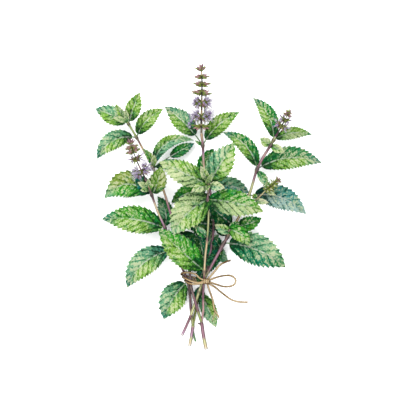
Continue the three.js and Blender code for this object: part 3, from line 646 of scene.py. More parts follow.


# Shoots: each stem's route, radii and colours by y, and its leaves.
# A leaf is its node's y, its tip, width, arch up, bend to the right and petiole, then the colours
# of its left and right halves seen from the node, of its base and of its tip, and how pale it is.
# Its base colour is painted shade, and leaves deep in the bunch are given the darkest colours and
# least paleness as painted shade.

SHOOTS = {
    "left_leafy": {
        "route": [
            (-4.4, -42.1, 6.2), (-10.3, -22.5, 11.4), (-14.9, -5, 9.4), (-16.2, 8, 8.4),
            (-22.5, 30, 8.6), (-34.8, 65.5, 10.8), (-44, 94.5, 11.4), (-55.5, 117.4, 12),
            (-64.2, 134, 14), (-69.4, 143.5, 15.5), (-78.6, 159, 18.5),
        ],
        "radii": (1.6, 1.1),
        "tones": (
            "-42 plum, -39 olive, -33 olive, -29 plum, -20 plum, -8 wine, 20 plum, 60 mauve, "
            "75 mauve, 90 tan, 100 straw, 125 straw, 134 tan, 139 plum, 146 olive, 150 olive, "
            "160 olive"
        ),
        "leaves": [
            (157, (-111, 172.5, 10), 20.5, 4, 1.2, 3, "lime mint dark teal", 0.7),
            (157, (-66, 188.4, 26), 17, 1, -0.8, 3, "lime lime dark moss", 0.8),
            (158.5, (-90.3, 177, 26), 8.5, -1, -0.5, 1.5, "lime pale dark moss", 0.6),
            (158.5, (-80.5, 172, 29), 5.5, -1, 0, 1, "pale pale mid cream", 0.8),
            (158, (-93, 163, 23), 6, 1, 1, 1, "pale pale mid cream", 0.8),
            (143.5, (-42.6, 172.2, 12), 17.5, 3, -4.2, 3.5, "lime lime dark lime", 0.9),
            (143.5, (-109.5, 121.8, 0.5), 20, 4, 8.8, 4, "lime mint dark teal", 0.9),
            (113, (-11.3, 140.6, 9), 14, 1, -13.3, 4, "lime mint teal mint", 0.75),
            (113, (-11.5, 138, 6), 12.5, 1, -1, 21, "mid green dark teal", 0.5),
            (113, (-26, 121, 5), 10, 0, 0, 3.5, "sea teal dark sea", 0.4),
            (113, (-63, 132.3, 16), 8, 0, 2.5, 1.5, "bright lime dark mid", 0.6),
            (113, (-51.5, 126, 17), 6.5, 0, 0, 1.5, "pale lime dark cream", 0.8),
            (50, (-6, 33, 1.5), 18, 1, 0, 3.5, "dark jade deep dark", 0.2),
        ],
    },
    "front_leafy": {
        "route": [
            (-4.4, -42.1, 6.2), (-2.7, -28, 9.8), (-2.9, -16.1, 11.8), (-2.2, -2, 12.9),
            (-0.8, 23.7, 18), (1.3, 43, 23), (2.5, 68, 30), (1.7, 82, 34), (2.6, 94.5, 37),
            (1.4, 102, 40),
        ],
        "radii": (1.35, 1.1),
        "tones": (
            "-42 plum, -38 rose, -22 rose, -18 plum, 4 plum, 10 tan, 20 sand, 37 tan, 42 plum, "
            "48 olive, 60 straw, 68 straw, 74 plum, 84 plum, 102 olive"
        ),
        "leaves": [
            (10, (-48, 53, 20), 30, 3, -0.7, 3.5, "lime bright mid mid", 0.75),
            (81.5, (-33.4, 45.6, 22), 34, 3.5, 5, -3.5, "lime pale dark mint", 1.0),
            (81.5, (57.4, 69.2, 27), 28, 3, -2.5, 1.2, "bright pale dark lime", 0.95),
            (96, (-47, 119, 34), 25.5, 2, 0.6, 3, "pale lime dark pale", 1.0),
            (96, (28.5, 138, 38), 28, 1, -1, 2.5, "mint lime dark bright", 1.0),
            (100, (-5.2, 114.6, 52), 8.5, -1, 0, 0.8, "pale lime dark cream", 1.0),
            (98, (5.8, 107, 50), 5.5, -1, 0, 1, "lime pale mid lime", 0.8),
            (97, (0.2, 101, 49), 4.5, -1, 0, 0.5, "olive lime dark lime", 0.7),
            (97, (1, 90.5, 46), 5, -1, 0, 0.2, "lime olive dark lime", 0.8),
            (95, (-14.4, 89.4, 44), 11, 2, 1.2, 0.5, "pale lime dark cream", 1.0),
            (95, (18.8, 92.6, 44), 10, 2, -0.8, 0.5, "pale mint dark cream", 1.0),
            (43, (-10.8, 54.8, 27), 9, 1, 0, 2, "mid mint dark mid", 0.6),
        ],
    },
    "left_flowering": {
        "route": [
            (-13, -45, 2.0), (-15, -32, 2.2), (-16, -15.3, 3.4), (-17.6, -4, 4.0),
            (-20.8, 6, 4.8), (-24.5, 14, 6), (-33, 33, 9.5), (-41, 53, 13.5), (-48.5, 70, 16.5),
            (-54.2, 86, 20.5), (-58.8, 98.5, 25),
        ],
        "radii": (1.5, 1.2),
        "tones": (
            "-45 olive, -40 straw, -34 straw, -28 plum, -12 wine, 12 plum, 35 mauve, 55 mauve, "
            "60 lilac, 66 sand, 76 sand, 81 plum, 84 wine, 90 wine, 93 brown, 97 straw, 100 sand"
        ),
        "leaves": [
            (86, (-102, 82.4, 0.5), 29, 3, 12.8, 3, "bright olive dark mint", 0.85),
            (86, (-45.3, 114.6, 20), 19.5, 0, 1.8, 2, "lime olive dark lime", 0.85),
            (86, (-71, 107.5, 23), 15, 0, 0, 2, "teal jade deep teal", 0.25),
            (93, (-68, 98.8, 29), 6.5, 1, 0, 1, "pale pale mid cream", 0.8),
            (94, (-57.5, 102, 29), 5.5, 1, 0, 1, "pale pale mid cream", 0.8),
            (94, (-52.5, 96, 27), 4.5, 1, 0, 1, "pale lime mid cream", 0.8),
            (92, (-65.5, 90.6, 27), 5.5, 1, 0, 1, "pale lime mid cream", 0.8),
            (53, (-105, 61.7, 0.5), 29.5, 4, 4.6, 2.5, "lime bright dark teal", 0.9),
            (53, (-48.7, 84.6, 2.5), 17, -6, 4.2, 2.5, "mint green dark green", 0.45),
            (31, (-79.6, -7.6, 0.4), 28, 5, 9, 6, "lime mint teal teal", 0.95),
            (-0.6, (-42.4, -39, 0.3), 28, 2, 3.6, 3, "lime mint dark teal", 0.9),
        ],
    },
    "centre_flowering": {
        "route": [
            (-13, -45, 2.0), (-10.5, -30.6, 2.4), (-7.5, -15, 3.2), (-3.5, -2, 4.0),
            (1.2, 10, 4.2), (4.8, 30.6, 4.6), (8, 57, 5.4), (6, 80, 7), (1.5, 100, 9),
            (-2.1, 116, 11.5), (-3.2, 135.5, 15), (-4.5, 147.5, 17.5),
        ],
        "radii": (1.2, 1.5),
        "tones": (
            "-45 leafy, -36 leafy, -24 leafy, -4 olive, 20 mauve, 55 plum, 90 mauve, 106 lilac, "
            "116 sand, 128 lilac, 132 plum, 136 wine, 139 mauve, 148 tan"
        ),
        "leaves": [
            (135.5, (-41.6, 174.6, 12), 21.5, -3, 2.8, 13, "lime mint dark teal", 0.9),
            (135.5, (34, 168.8, 14), 18.5, -1, -5, 6.5, "lime lime dark bright", 0.85),
            (135, (-11, 140.6, 17), 3.6, 0, 0, 1, "bright mid dark mid", 0.5),
            (100, (7.8, 132.6, 0.6), 21, 0, -4, 3.5, "mid bright dark mid", 0.55),
            (52, (1, 81, 1.2), 17, 0, 0, 2, "dark jade deep dark", 0.2),
            (92, (43.4, 88.1, 3), 20, 1, -5, 3.5, "mint sea teal sea", 0.7),
            (92, (-35, 78, 2), 20, 1, 3.5, 3.5, "dark bright deep dark", 0.35),
            (57, (-19, 58, 1.5), 26, 1, 0, 3.5, "dark dark deep jade", 0.2),
            (26, (13, 47, 2), 10, 0, -2, 3.5, "mint green teal mint", 0.5),
            (38, (22.2, 20, 0.5), 15, 1, 2.5, 3.5, "mint mint green mint", 0.6),
            (-4, (-9.5, -23, 2.5), 12, 0, 0, 2, "dark jade deep dark", 0.2),
            (8, (-8, 52, 1.5), 18, 0, 0, 2, "dark jade deep teal", 0.35),
            (24, (-9, -3, 3), 13, 0, 0, 2, "dark jade deep dark", 0.2),
            (14, (5, 58, 1.5), 12, 0, 0, 2, "jade dark deep teal", 0.35),
        ],
    },
    "right_flowering": {
        "route": [
            (-24.3, -55, 2.6), (-19.7, -45.1, 4.8), (-15.1, -34.4, 6.8), (-11.3, -23.7, 7.0),
            (-7.4, -12.3, 7.8), (-3.5, -1, 8.4), (0.2, 5.5, 8.8), (7.2, 18.2, 10), (18, 38, 12),
            (26, 52, 13.2), (34, 66, 14), (43.8, 88, 15), (50.8, 111, 16.5), (57, 123.5, 17.5),
            (65, 136.5, 19), (69, 143.5, 20.5),
        ],
        "radii": (1.6, 1.5),
        "tones": (
            "-55 white, -52 lilac, -48 mauve, -38 plum, -35 plum, -33 straw, -18 straw, -6 straw, "
            "6 straw, 12 mauve, 34 mauve, 38 wine, 42 plum, 50 straw, 60 tan, 72 olive, 84 straw, "
            "97 straw, 102 mauve, 108 plum, 112 wine, 116 plum, 120 mauve, 127 rose, 131 plum, "
            "137 wine, 140 olive, 144 straw"
        ),
        "leaves": [
            (141, (46.4, 183.6, 14), 17.5, 1, 6.2, 2.5, "lime mid dark teal", 0.75),
            (141, (106.5, 146.4, 6), 13.5, -2, -4.5, 2.5, "lime pale bright green", 0.8),
            (135.5, (54, 142.6, 25), 10.5, 1, 0, 0.8, "lime pale mid lime", 0.8),
            (135.5, (78.4, 128.6, 24), 9, 1, 0, 0.8, "pale lime mid cream", 0.8),
            (112, (16.4, 148.6, 19), 17.5, 2, 7.8, 3, "lime mid dark teal", 0.75),
            (112, (116.4, 118.2, 0.5), 24.5, 5, -8.3, 5, "green lime dark teal", 0.9),
            (111, (61.8, 93.6, 20), 9.5, 1, -0.7, 2, "mid mint mid lime", 0.7),
            (85, (100.6, 66.6, 1), 25.5, 3, -8.5, 6, "sea mist deep mist", 0.75),
            (54, (55.8, 63.2, 12), 16, 1, 1.5, 3, "mid bright dark mid", 0.55),
            (55, (5, 74, 10), 20, 0, 0, 3.5, "dark jade deep dark", 0.3),
            (44, (16, 66, 4), 16, 0, -3, 2, "dark jade deep dark", 0.3),
            (33, (7, 44, 3), 11, 0, 0, 2, "jade dark deep jade", 0.3),
            (36, (-2.5, 4, 2.5), 13, 0, 0, 2, "dark jade deep dark", 0.25),
            (38, (80, 13.2, 0.4), 34, 4, -6, 5, "mint jade dark green", 0.95),
            (-11, (10.2, -47.6, 0.4), 17, -2, -1.2, 2.5, "lime mint dark mint", 0.85),
        ],
    },
    "right_side_shoot": {
        "route": [(40.4, 80, 14.7), (46, 79.5, 17), (53, 84, 19), (59.5, 90.5, 21.5)],
        "radii": (0.85, 0.7),
        "tones": "79 mauve, 84 tan, 91 straw",
        "leaves": [
            (80.5, (62.6, 78.4, 21), 6.5, 1, 0, 1, "cream pale mid cream", 0.8),
            (81.5, (47.5, 87.6, 22), 6, 1, 0, 1, "olive bright dark olive", 0.6),
            (90, (69.8, 86, 23), 4.5, 0, 0, 1, "pale cream mid cream", 0.8),
            (90, (63.4, 99.6, 27), 4, 0, 0, 1, "bright mid dark mid", 0.5),
        ],
    },
    "right_young_shoot": {
        "route": [(20.6, 43.5, 12.4), (22, 47, 15.4), (24, 52, 17.8)],
        "radii": (0.8, 0.6),
        "tones": "43 mauve, 52 olive",
        "leaves": [
            (51.5, (33.4, 59.5, 18.5), 9, 0, 0, 0.5, "mid green dark mid", 0.5),
            (51.5, (43.2, 35.6, 19), 16, 2.5, -3, -2.2, "bright lime mid lime", 0.9),
            (50, (8.8, 56.8, 19), 10.5, 1, -1, -1.5, "mint lime mid pale", 0.85),
        ],
    },
}
CUT_STEMS = {
    "front_cut_stem": {
        "route": [(-4.4, -42.1, 6.2), (-2.4, -56, 3.2), (0.2, -68.9, 1.3)],
        "radius": 2.05,
        "tones": "-69 white, -66 sand, -60 straw, -56 mauve, -46 mauve, -42 plum",
    },
    "back_cut_stem": {
        "route": [(-13, -45, 2.0), (-14.6, -55, 1.6), (-16.6, -65.8, 1.3)],
        "radius": 1.8,
        "tones": "-66 white, -62 sand, -58 straw, -55 lilac, -47 mauve, -45 straw",
    },
    "front_stub": {
        "route": [(-4.6, -43.6, 6.0), (-6.2, -43.2, 6.4), (-7.8, -42.2, 6.8)],
        "radius": 1.0,
        "tones": "-44 wine, -42 wine",
    },
    "back_stub": {
        "route": [(-13.2, -49, 1.6), (-12, -55, 1.6), (-10.5, -61, 1.5)],
        "radius": 1.0,
        "tones": "-61 mid, -49 dark",
    },
}

# Stems
STEM_SIDES = 16
STEM_RINGS_EVERY = 0.9
SQUARE_POWER = 3.2
NODE_SWELL = 0.95
NODE_LONG = 1.7
TOP_PAINTED_HIGHLIGHT = 0.6
CORNER_PAINTED_SHADE = 0.7

# Blades
RIB_RADII = (0.75, 0.22)
RIB_WHITE_WIDE = 0.34
BLADE_THICK = 0.34
BLADE_FOLD = 0.2
BLADE_WAVE = 0.1
TOOTH_TALL = 0.07
TOOTH_ROWS = 6
TOOTH_RISE = 0.74
QUILT = 0.013
PUCKER = 0.05
VEIN_STANDS = 0.28
WIDEST = 0.42
BASE_ROUND = 0.6
TIP_POINTED = 1.1
BASE_SHADE = 0.72
BASE_SHADE_LONG = 0.27
RIB_SHADE = 0.22
FULL_WIDTH = 16
YOUNG_WIDTH = 11
YOUNG_EDGE = 0.5
VEIN_EVERY = (4.2, 0.17)
TOOTH_EVERY = (1.9, 0.09)
# Places of a blade's grid columns, as shares of its half width: signed, and from the midrib.
HALF_COLUMNS = [0.03, 0.09, 0.18, 0.28, 0.38, 0.48, 0.58, 0.68, 0.78, 0.87, 0.94, 1.0]
COLUMNS = np.array([[*[-u for u in reversed(HALF_COLUMNS)], 0.0, *HALF_COLUMNS]])
SIDE = np.sign(COLUMNS)
OUT = np.abs(COLUMNS)


def outline(s):
    """Half the blade's width at share s of its length: rounded at the base, pointed at the tip."""
    near = 1 - np.clip(s / WIDEST, 0, 1)
    far = np.clip((s - WIDEST) / (1 - WIDEST), 0, 1)
    return np.where(s < WIDEST, (1 - near**2.2) ** BASE_ROUND, (1 - far**2) ** TIP_POINTED)


def midrib(start, tip, arch, bend, t):
    """Points, and directions along, right and above, of a leaf's midrib at shares t."""
    chord = tip - start
    right = unit(np.cross(unit(chord), UP))
    up = np.cross(right, unit(chord))
    off = UP * arch * 4 / 3 + right * bend * 4 / 3
    a, b, c, d = start, start + chord / 3 + off, start + chord * 2 / 3 + off, tip
    t = np.asarray(t, float)[:, None]
    line = a * (1 - t) ** 3 + 3 * b * t * (1 - t) ** 2 + 3 * c * t**2 * (1 - t) + d * t**3
    along = unit((b - a) * (1 - t) ** 2 + 2 * (c - b) * t * (1 - t) + (d - c) * t**2)
    right = unit(np.cross(along, up))
    return line, along, right, np.cross(right, along)


def spaced(length, every, width):
    """How many teeth or veins fit on a length; they are further apart on wider blades."""
    return round(length / (every[0] + every[1] * width))


def blade_edge(s, teeth, width, seed):
    """How far right of the midrib each point is, and how far its tooth moves it on."""
    half = outline(s) * width / 2
    # Teeth point to the tip: each rises slowly and drops back fast.
    part = (s * teeth + 0.18 * np.sin(9 * s + seed + SIDE)) % 1.0
    drop = 1 - (np.maximum(part - TOOTH_RISE, 0) / (1 - TOOTH_RISE)) ** 0.8
    rise = np.where(part < TOOTH_RISE, (part / TOOTH_RISE) ** 1.3, drop)
    tall = TOOTH_TALL * width * np.clip(half / width * 3, 0, 1) * smooth_step(0, 0.14, s)
    return SIDE * (OUT * (half - tall) + OUT**7 * tall * rise), OUT**5 * tall * rise * 0.7


def blade_relief(s, across, onward, phase, width, seed):
    """Heights over the midrib, quilted between side veins, and the thickness under them."""
    wave = BLADE_WAVE * np.sin(s * 15 + SIDE + width)
    lift = outline(s) * width / 2 * OUT * (BLADE_FOLD + wave) * (1.35 - 0.35 * OUT)
    from_vein = np.abs((phase % 1.0) - 0.5) * 2
    bulge = np.sqrt(np.clip(1 - from_vein**2, 0, 1)) * np.sqrt(OUT * (1.02 - OUT)) * 2
    bulge = bulge * smooth_step(0, 0.1, s) * smooth_step(1.0, 0.85, s)
    pucker = np.sin(across * 1.9 + 2 * np.sin(onward * 1.1 + seed))
    pucker = pucker * np.sin(onward * 2.2 + 2 * np.sin(across * 1.3))
    quilt = (QUILT * width + PUCKER * min(1, width / 14) * pucker) * bulge
    dip = 0.25 * np.exp(-((across / 0.7) ** 2))
    ridge = np.exp(-(((1 - from_vein) / 0.22) ** 2)) * (1 - OUT) * min(1, width / FULL_WIDTH)
    return lift + quilt - dip, BLADE_THICK + VEIN_STANDS * ridge


def rim_faces(rows, columns):
    """The narrow faces that join a blade's top grid to its bottom grid."""
    n = rows * columns
    down, across = np.arange(rows - 1) * columns, np.arange(columns - 1)
    sides = ((down, columns), (down + columns - 1, columns))
    ends = ((across, 1), (across + n - columns, 1))
    left, right, base, tip = (
        np.stack([a, a + k, a + k + n, a + n], axis=-1) for a, k in (*sides, *ends)
    )
    return [left, right[:, ::-1], base, tip[:, ::-1]]


def leaf_tint(s, dress):
    """The colour of each place on a blade before its veins and spots are drawn; its base colour is
    painted shade.
    """
    left, right, base, tip = (COLOURS[name] for name in dress.split())
    share = smooth_step(-0.3, 0.3, COLUMNS)[..., None]
    dark = (0.85 * np.exp(-((s / BASE_SHADE_LONG) ** 1.8)))[..., None]
    far = (0.85 * smooth_step(0.66, 0.94, s))[..., None]
    colour = (left * (1 - share) + right * share) * (1 - dark) + base * dark
    return colour * (1 - far) + tip * far


def blade_values(s, across, onward, phase, veins, leaf, shift):
    """The point values that the leaf material reads, for a blade's top and then its bottom."""
    _, _, width, _, _, _, dress, pale = leaf
    rib = np.exp(-((across / RIB_WHITE_WIDE) ** 2)) * smooth_step(1.0, 0.3, s)
    # Painted shade at the blade's base and beside its midrib; on young leaves it goes below 0 to
    # pale their margins.
    shade = BASE_SHADE * (0.5 + 0.7 * pale) * np.exp(-((s / BASE_SHADE_LONG) ** 1.6))
    shade = shade * (1 - 0.25 * OUT)
    shade = shade + RIB_SHADE * np.exp(-(((np.abs(across) - 1.2) / 0.7) ** 2)) * (1 - s)
    if width < YOUNG_WIDTH:
        shade = shade * 0.8 - YOUNG_EDGE * smooth_step(0.4, 0.95, OUT)
    top = {
        "tint": leaf_tint(s, dress),
        "sheet": stacked(across, onward, 0) + shift,
        "strokes": stacked(phase * onward[-1, 0] / veins, 0.35 * across, 0) + shift,
        "phase": phase,
        "edge": OUT + 0 * s,
        "rib": rib * min(1, width / FULL_WIDTH),
        "shade": shade,
        "under": 0 * phase,
        "pale": pale + 0 * phase,
    }
    bottom = {**top, "rib": 0 * phase, "under": 1 + 0 * phase}
    both = {name: np.concatenate([top[name], bottom[name]]) for name in top}
    return {name: value.reshape(-1, *value.shape[2:]) for name, value in both.items()}


def add_leaf(skin, start, leaf, seed):
    """A serrated blade over a rib that starts as its petiole."""
    _, tip, width, arch, bend, petiole, dress, _ = leaf
    bow = (start, np.array(tip, float), arch, bend)
    length = lengths_along(midrib(*bow, np.linspace(0, 1, 40))[0])[-1]
    bare = petiole / length
    blade_long = length * (1 - bare)
    teeth = max(5, spaced(blade_long, TOOTH_EVERY, width))
    veins = max(3, spaced(blade_long, VEIN_EVERY, width))
    x = np.linspace(0, 1, teeth * TOOTH_ROWS + 1)
    s = (0.7 * x + 0.3 * (1 - np.cos(math.pi * x)) / 2)[:, None]
    across, forward = blade_edge(s, teeth, width, seed)
    onward = s * blade_long + 0 * OUT
    lean = 0.6 * width / blade_long * (0.72 * OUT + 0.28 * OUT**2) * outline(s)
    phase = (s - lean) * veins + 0.25 * SIDE
    high, thick = blade_relief(s, across, onward, phase, width, seed)
    line, *axes = midrib(*bow, bare + (1 - bare) * s[:, 0])
    moves = zip(axes, (forward, across, high))
    top = line[:, None] + sum(axis[:, None] * far[..., None] for axis, far in moves)
    bottom = top - axes[2][:, None] * thick[..., None]
    faces = grid_faces(*across.shape)
    shift = np.array([seed * 37.7, seed * 91.3, seed * 13.1])
    skin.add(
        np.concatenate([top, bottom]),
        [faces, faces[:, ::-1] + across.size, *rim_faces(*across.shape)],
        **blade_values(s, across, onward, phase, veins, leaf, shift),
    )
    add_rib(skin, bow, bare, width, COLOURS[dress.split()[2]], shift)


def add_rib(skin, bow, bare, width, base, shift):
    """The petiole, which runs on under the blade as its midrib."""
    t = np.linspace(0, 0.97, 36)
    line, *axes = midrib(*bow, t)
    stout = min(1.0, 0.35 + width / 24)
    below = np.where(t > bare, 0.42, 0.42 * t / bare)
    line = line - axes[2] * (below * stout + 0.1)[:, None]
    radii = (RIB_RADII[0] + (RIB_RADII[1] - RIB_RADII[0]) * t**0.6) * stout
    places = stacked(0, t * 40, 0) + shift
    tube(
        skin, line, radii, 8, across=axes, tint=base * 0.4 + COLOURS["lime"] * 0.6,
        sheet=places, strokes=places, phase=0.0, edge=0.0, rib=0.0, shade=0.0, under=0.3, pale=0.3,
    )


def blended(stops, at):
    """Colours at given places, from pairs of a place and its colour."""
    places, colours = zip(*stops)
    return stacked(*(np.interp(at, places, channel) for channel in np.array(colours).T))


def tones_at(tones, y):
    """Colours by y, from stops such as "-42 mauve, 0 plum"."""
    stops = [stop.split() for stop in tones.split(", ")]
    return blended([(float(place), COLOURS[name]) for place, name in stops], y)


def add_stem(skin, line, radii, nodes, tones, seed):
    """A square stem with rounded corners, swollen and darker where leaves grow, with a painted
    highlight on its top face and painted shade at its corners.
    """
    line = evenly(line, STEM_RINGS_EVERY)
    along = lengths_along(line)
    near = np.zeros(len(line))
    for node in nodes:
        near = np.maximum(near, np.exp(-(((line[:, 1] - node) / NODE_LONG) ** 2)))
    angle = ring_angles(STEM_SIDES)
    corners = np.abs(np.cos(angle)) ** SQUARE_POWER + np.abs(np.sin(angle)) ** SQUARE_POWER
    corner = (np.sin(2 * angle) ** 2)[None, :, None]
    colour = tones_at(tones, line[:, 1])
    colour = (colour + (COLOURS["wine"] * 0.7 - colour) * (near * 0.85)[:, None])[:, None, :]
    # Painted highlight on the upward face and painted shade at the corners.
    colour = colour * (1 + TOP_PAINTED_HIGHLIGHT * (1 - corner) ** 2 - CORNER_PAINTED_SHADE * corner)
    colour = colour + COLOURS["sand"] * 0.12 * (1 - corner) ** 2
    sheet = stacked(angle * radii[0] + seed * 11, along[:, None] + seed * 23, seed * 5.0)
    tube(
        skin, line, tapered(along, radii) + NODE_SWELL * near, STEM_SIDES,
        across=frames_along(line), shape=0.9 / corners ** (1 / SQUARE_POWER),
        tint=with_ends(colour), sheet=with_ends(sheet),
    )


def at_y(line, y):
    """Where a stem's line passes y."""
    order = np.argsort(line[:, 1])
    return np.array([np.interp(y, line[order, 1], line[order, k]) for k in range(3)])


def make_shoot(name, shoot, leaf_look, stem_look, seed):
    """One shoot's leaves as a piece, which is returned, and its stem as another."""
    line = curve_through(shoot["route"])
    leaves, stem = Skin(), Skin()
    for k, leaf in enumerate(shoot["leaves"]):
        add_leaf(leaves, at_y(line, leaf[0]), leaf, seed * 20 + k + 1)
    nodes = sorted({leaf[0] for leaf in shoot["leaves"] if leaf[2] > 9})
    add_stem(stem, line, shoot["radii"], nodes, shoot["tones"], seed)
    blades = leaves.piece(f"{name}_leaves", leaf_look, "leaf")
    stem.piece(f"{name}_stem", stem_look, "leaf")
    return blades


def make_cut_stem(name, cut, stem_look, seed):
    skin = Skin()
    add_stem(skin, curve_through(cut["route"]), [cut["radius"]] * 2, (), cut["tones"], seed)
    skin.piece(name, stem_look, "leaf")


# Flower spikes: each axis, its whorls as y, radius and kind, and how long the buds at its tip are.

SPIKES = {
    "centre_flower_spike": {
        "route": [
            (-4.6, 148, 17.6), (-4.6, 158, 19), (-4.3, 178, 21.5), (-4.0, 200, 23.5),
            (-4.5, 209.2, 24.5),
        ],
        "radii": (1.15, 0.8),
        "tone": "tan",
        "whorls": [
            (154.8, 10.5, "sparse"), (164.6, 13.2, "open"), (178.0, 11.8, "open"),
            (187.8, 10.6, "closed"), (196.2, 9.6, "closed"), (203.8, 8.2, "closed"),
        ],
        "tip": 10.8,
    },
    "left_flower_spike": {
        "route": [
            (-59.1, 99.3, 25.3), (-63, 107.5, 28.5), (-68.5, 119, 32), (-72.5, 129.6, 34),
            (-74.6, 136.2, 35.2),
        ],
        "radii": (0.9, 0.5),
        "tone": "mauve",
        "whorls": [
            (109.4, 11.5, "open"), (121.8, 9.0, "half"), (129.4, 8.0, "closed"),
            (133.6, 7.0, "closed"),
        ],
        "tip": 7.6,
    },
    "right_flower_spike": {
        "route": [(69.5, 144.4, 21), (73, 150.5, 25), (78.5, 160.5, 28), (81.6, 166.6, 30)],
        "radii": (0.9, 0.5),
        "tone": "plum",
        "whorls": [(154.4, 9.0, "half"), (161.2, 7.6, "half"), (165.8, 5.4, "closed")],
        "tip": 6.6,
    },
    "right_bud_spike": {
        "route": [(59.8, 90.8, 21.7), (66.5, 96, 24), (70.6, 99.4, 25)],
        "radii": (0.7, 0.5),
        "tone": "plum",
        "whorls": [(91.6, 6.4, "green"), (94.2, 6.6, "green"), (97.0, 5.6, "green")],
        "tip": 6.4,
    },
}
# The buds of half a whorl: degrees up from straight out, reach as a share of the whorl's radius,
# and the colour towards the tip.
BUD_FAN = [
    (54, 0.44, "leafy"), (34, 0.62, "mauve"), (18, 0.88, "rose"), (2, 1.0, "rose"),
    (-15, 0.78, "leafy"), (-32, 0.56, "leafy"),
]
GREEN_FAN = [(60, 0.95, "leafy"), (30, 0.8, "leafy"), (-4, 0.85, "cream"), (-40, 0.7, "leafy")]
SPARSE_FAN = [(28, 0.45, "leafy"), (-4, 0.7, "leafy"), (-20, 0.86, "rose")]
FANS = {"closed": BUD_FAN, "green": GREEN_FAN, "sparse": SPARSE_FAN}
ROUND_DEGREES = (-58, 0, 48)
FLORETS = {"open": 20, "half": 12}
# Each ring's radius and height, and how far a calyx's teeth rise above it.
CALYX_RINGS = [
    (0.16, 0, 0), (0.42, 0.25, 0), (0.6, 0.9, 0), (0.62, 1.7, 0), (0.74, 2.1, 1.25),
    (0.5, 2.05, 0.85), (0.34, 1.5, 0),
]
CALYX_TEETH = 5
CALYX_LONG = 3.35
BUD_RINGS = [
    (0.12, 0), (0.36, 0.25), (0.54, 0.8), (0.56, 1.5), (0.45, 2.2), (0.27, 2.8), (0.06, 3.35),
]
BUD_SIDES = 8
BUD_LONG = 3.4
# Each ring's radius and height, and how much its four lobes add to both.
COROLLA_RINGS = [
    (0.3, 1.5, 0, 0), (0.4, 2.6, 0, 0), (0.6, 3.2, 0.25, 0.1), (0.65, 3.5, 0.95, 0.55),
    (0.6, 3.62, 0.9, 0.55), (0.4, 3.4, 0.25, 0.1), (0.24, 2.7, 0, 0),
]
COROLLA_SIDES = 16
BRACT_RINGS, BRACT_SIDES = 7, 6
BRACT_ROUND = (-20, 20)
STAMENS = 4
STAMEN_RADII, ANTHER_RADII = [0.17, 0.15, 0.12], [0.14, 0.27, 0.1]
# A flowering whorl, as shares of its radius, and the buds that fill it below its flowers.
HUB_OUT = 0.26
FLORET_SIZE, SMALLEST_FLORET = 0.078, 0.62
STAMEN_REACH = 0.62
FILL_ROUND = (15, 50)
FILL_LIFTS = (-54, -30, -8, 18, 46)
LAST_FLOWER = {"lifts": (-30, 20, 70), "size": 1.1, "reach": 5}
TIP_ROUND = (0, 60, 120)
TIP_LEANS = (-54, -34, -12, 12, 34, 54)


def capped(rings):
    """A ring shape with a point in the middle of each end, and its faces."""
    points = np.vstack([*rings, rings[0].mean(axis=0), rings[-1].mean(axis=0)])
    return points, tube_faces(len(rings), len(rings[0]))


def round_ring(radius, z, angle):
    return stacked(radius * np.cos(angle), radius * np.sin(angle), z)


def calyx_shape():
    """A ribbed cup with five pointed teeth, along z."""
    angle = ring_angles(CALYX_TEETH * 2)
    tooth = np.tile([1.0, 0.0], CALYX_TEETH)
    return capped([
        round_ring(radius * (1 + 0.1 * tooth), z + rise * tooth, angle)
        for radius, z, rise in CALYX_RINGS
    ])


def bud_shape():
    """A ribbed, pointed bud, along z."""
    ribs = np.tile([1, 1.14], BUD_SIDES // 2)
    return capped([round_ring(radius * ribs, z, ring_angles(BUD_SIDES)) for radius, z in BUD_RINGS])


def corolla_shape():
    """A short tube that opens into four lobes."""
    angle = ring_angles(COROLLA_SIDES)
    lobe = np.abs(np.cos(angle * 2)) ** 0.6
    return capped([
        round_ring(radius + wider * lobe, z + rise * lobe, angle)
        for radius, z, wider, rise in COROLLA_RINGS
    ])


CALYX = calyx_shape()
# 1 for the points inside a calyx's cup: its last two rings and the middle of the last.
CALYX_INSIDE = np.repeat([0, 1, 0, 1], [CALYX_TEETH * 2 * 5, CALYX_TEETH * 2 * 2, 1, 1])
BUD = bud_shape()
COROLLA = corolla_shape()


def turned_to(direction, spin):
    """A matrix whose third column points along direction, turned about it by spin."""
    z = unit(direction)
    x = unit(np.cross(z, [0.31, 0.17, 0.93] if abs(z[2]) < 0.9 else [1, 0, 0]))
    y = np.cross(z, x)
    c, s = math.cos(spin), math.sin(spin)
    return np.stack([x * c + y * s, y * c - x * s, z], axis=-1)


def add_calyx(skin, root, turn, size, rng):
    points, faces = CALYX
    low = COLOURS["leafy" if rng.random() < 0.6 else "olive"] * rng.uniform(0.9, 1.2)
    high = COLOURS["wine" if rng.random() < 0.4 else "mauve"] * rng.uniform(0.9, 1.2)
    colour = blended([(0.1, low * 0.7), (0.4, low), (0.75, high)], points[:, 2] / CALYX_LONG)
    # Painted shade inside the cup.
    dark = (CALYX_INSIDE * 0.7)[:, None]
    colour = colour * (1 - dark) + COLOURS["wine"] * dark
    skin.add(root + (points * size) @ turn.T, faces, tint=colour)


def add_bud(skin, root, direction, length, end_colour, rng):
    """A closed bud: painted shade where it starts among the others, then green, then its end colour
    and a green point.
    """
    points, faces = BUD
    size = length / BUD_LONG
    stout = min(size * 0.9, 0.56 + 0.42 * size)
    green = COLOURS[rng.choice(["leafy", "olive", "olive", "brown"])] * rng.uniform(0.75, 1.25)
    end = COLOURS[end_colour] * rng.uniform(0.7, 1.25)
    stops = [(0, green * 0.1), (0.22, green * 0.7), (0.4, green)]
    stops += [(0.56, end), (0.85, end), (1, green * 0.7)]
    colour = blended(stops, points[:, 2] / BUD_LONG)
    turn = turned_to(direction, rng.uniform(0, 6))
    skin.add(root + (points * [stout, stout, size]) @ turn.T, faces, tint=colour)


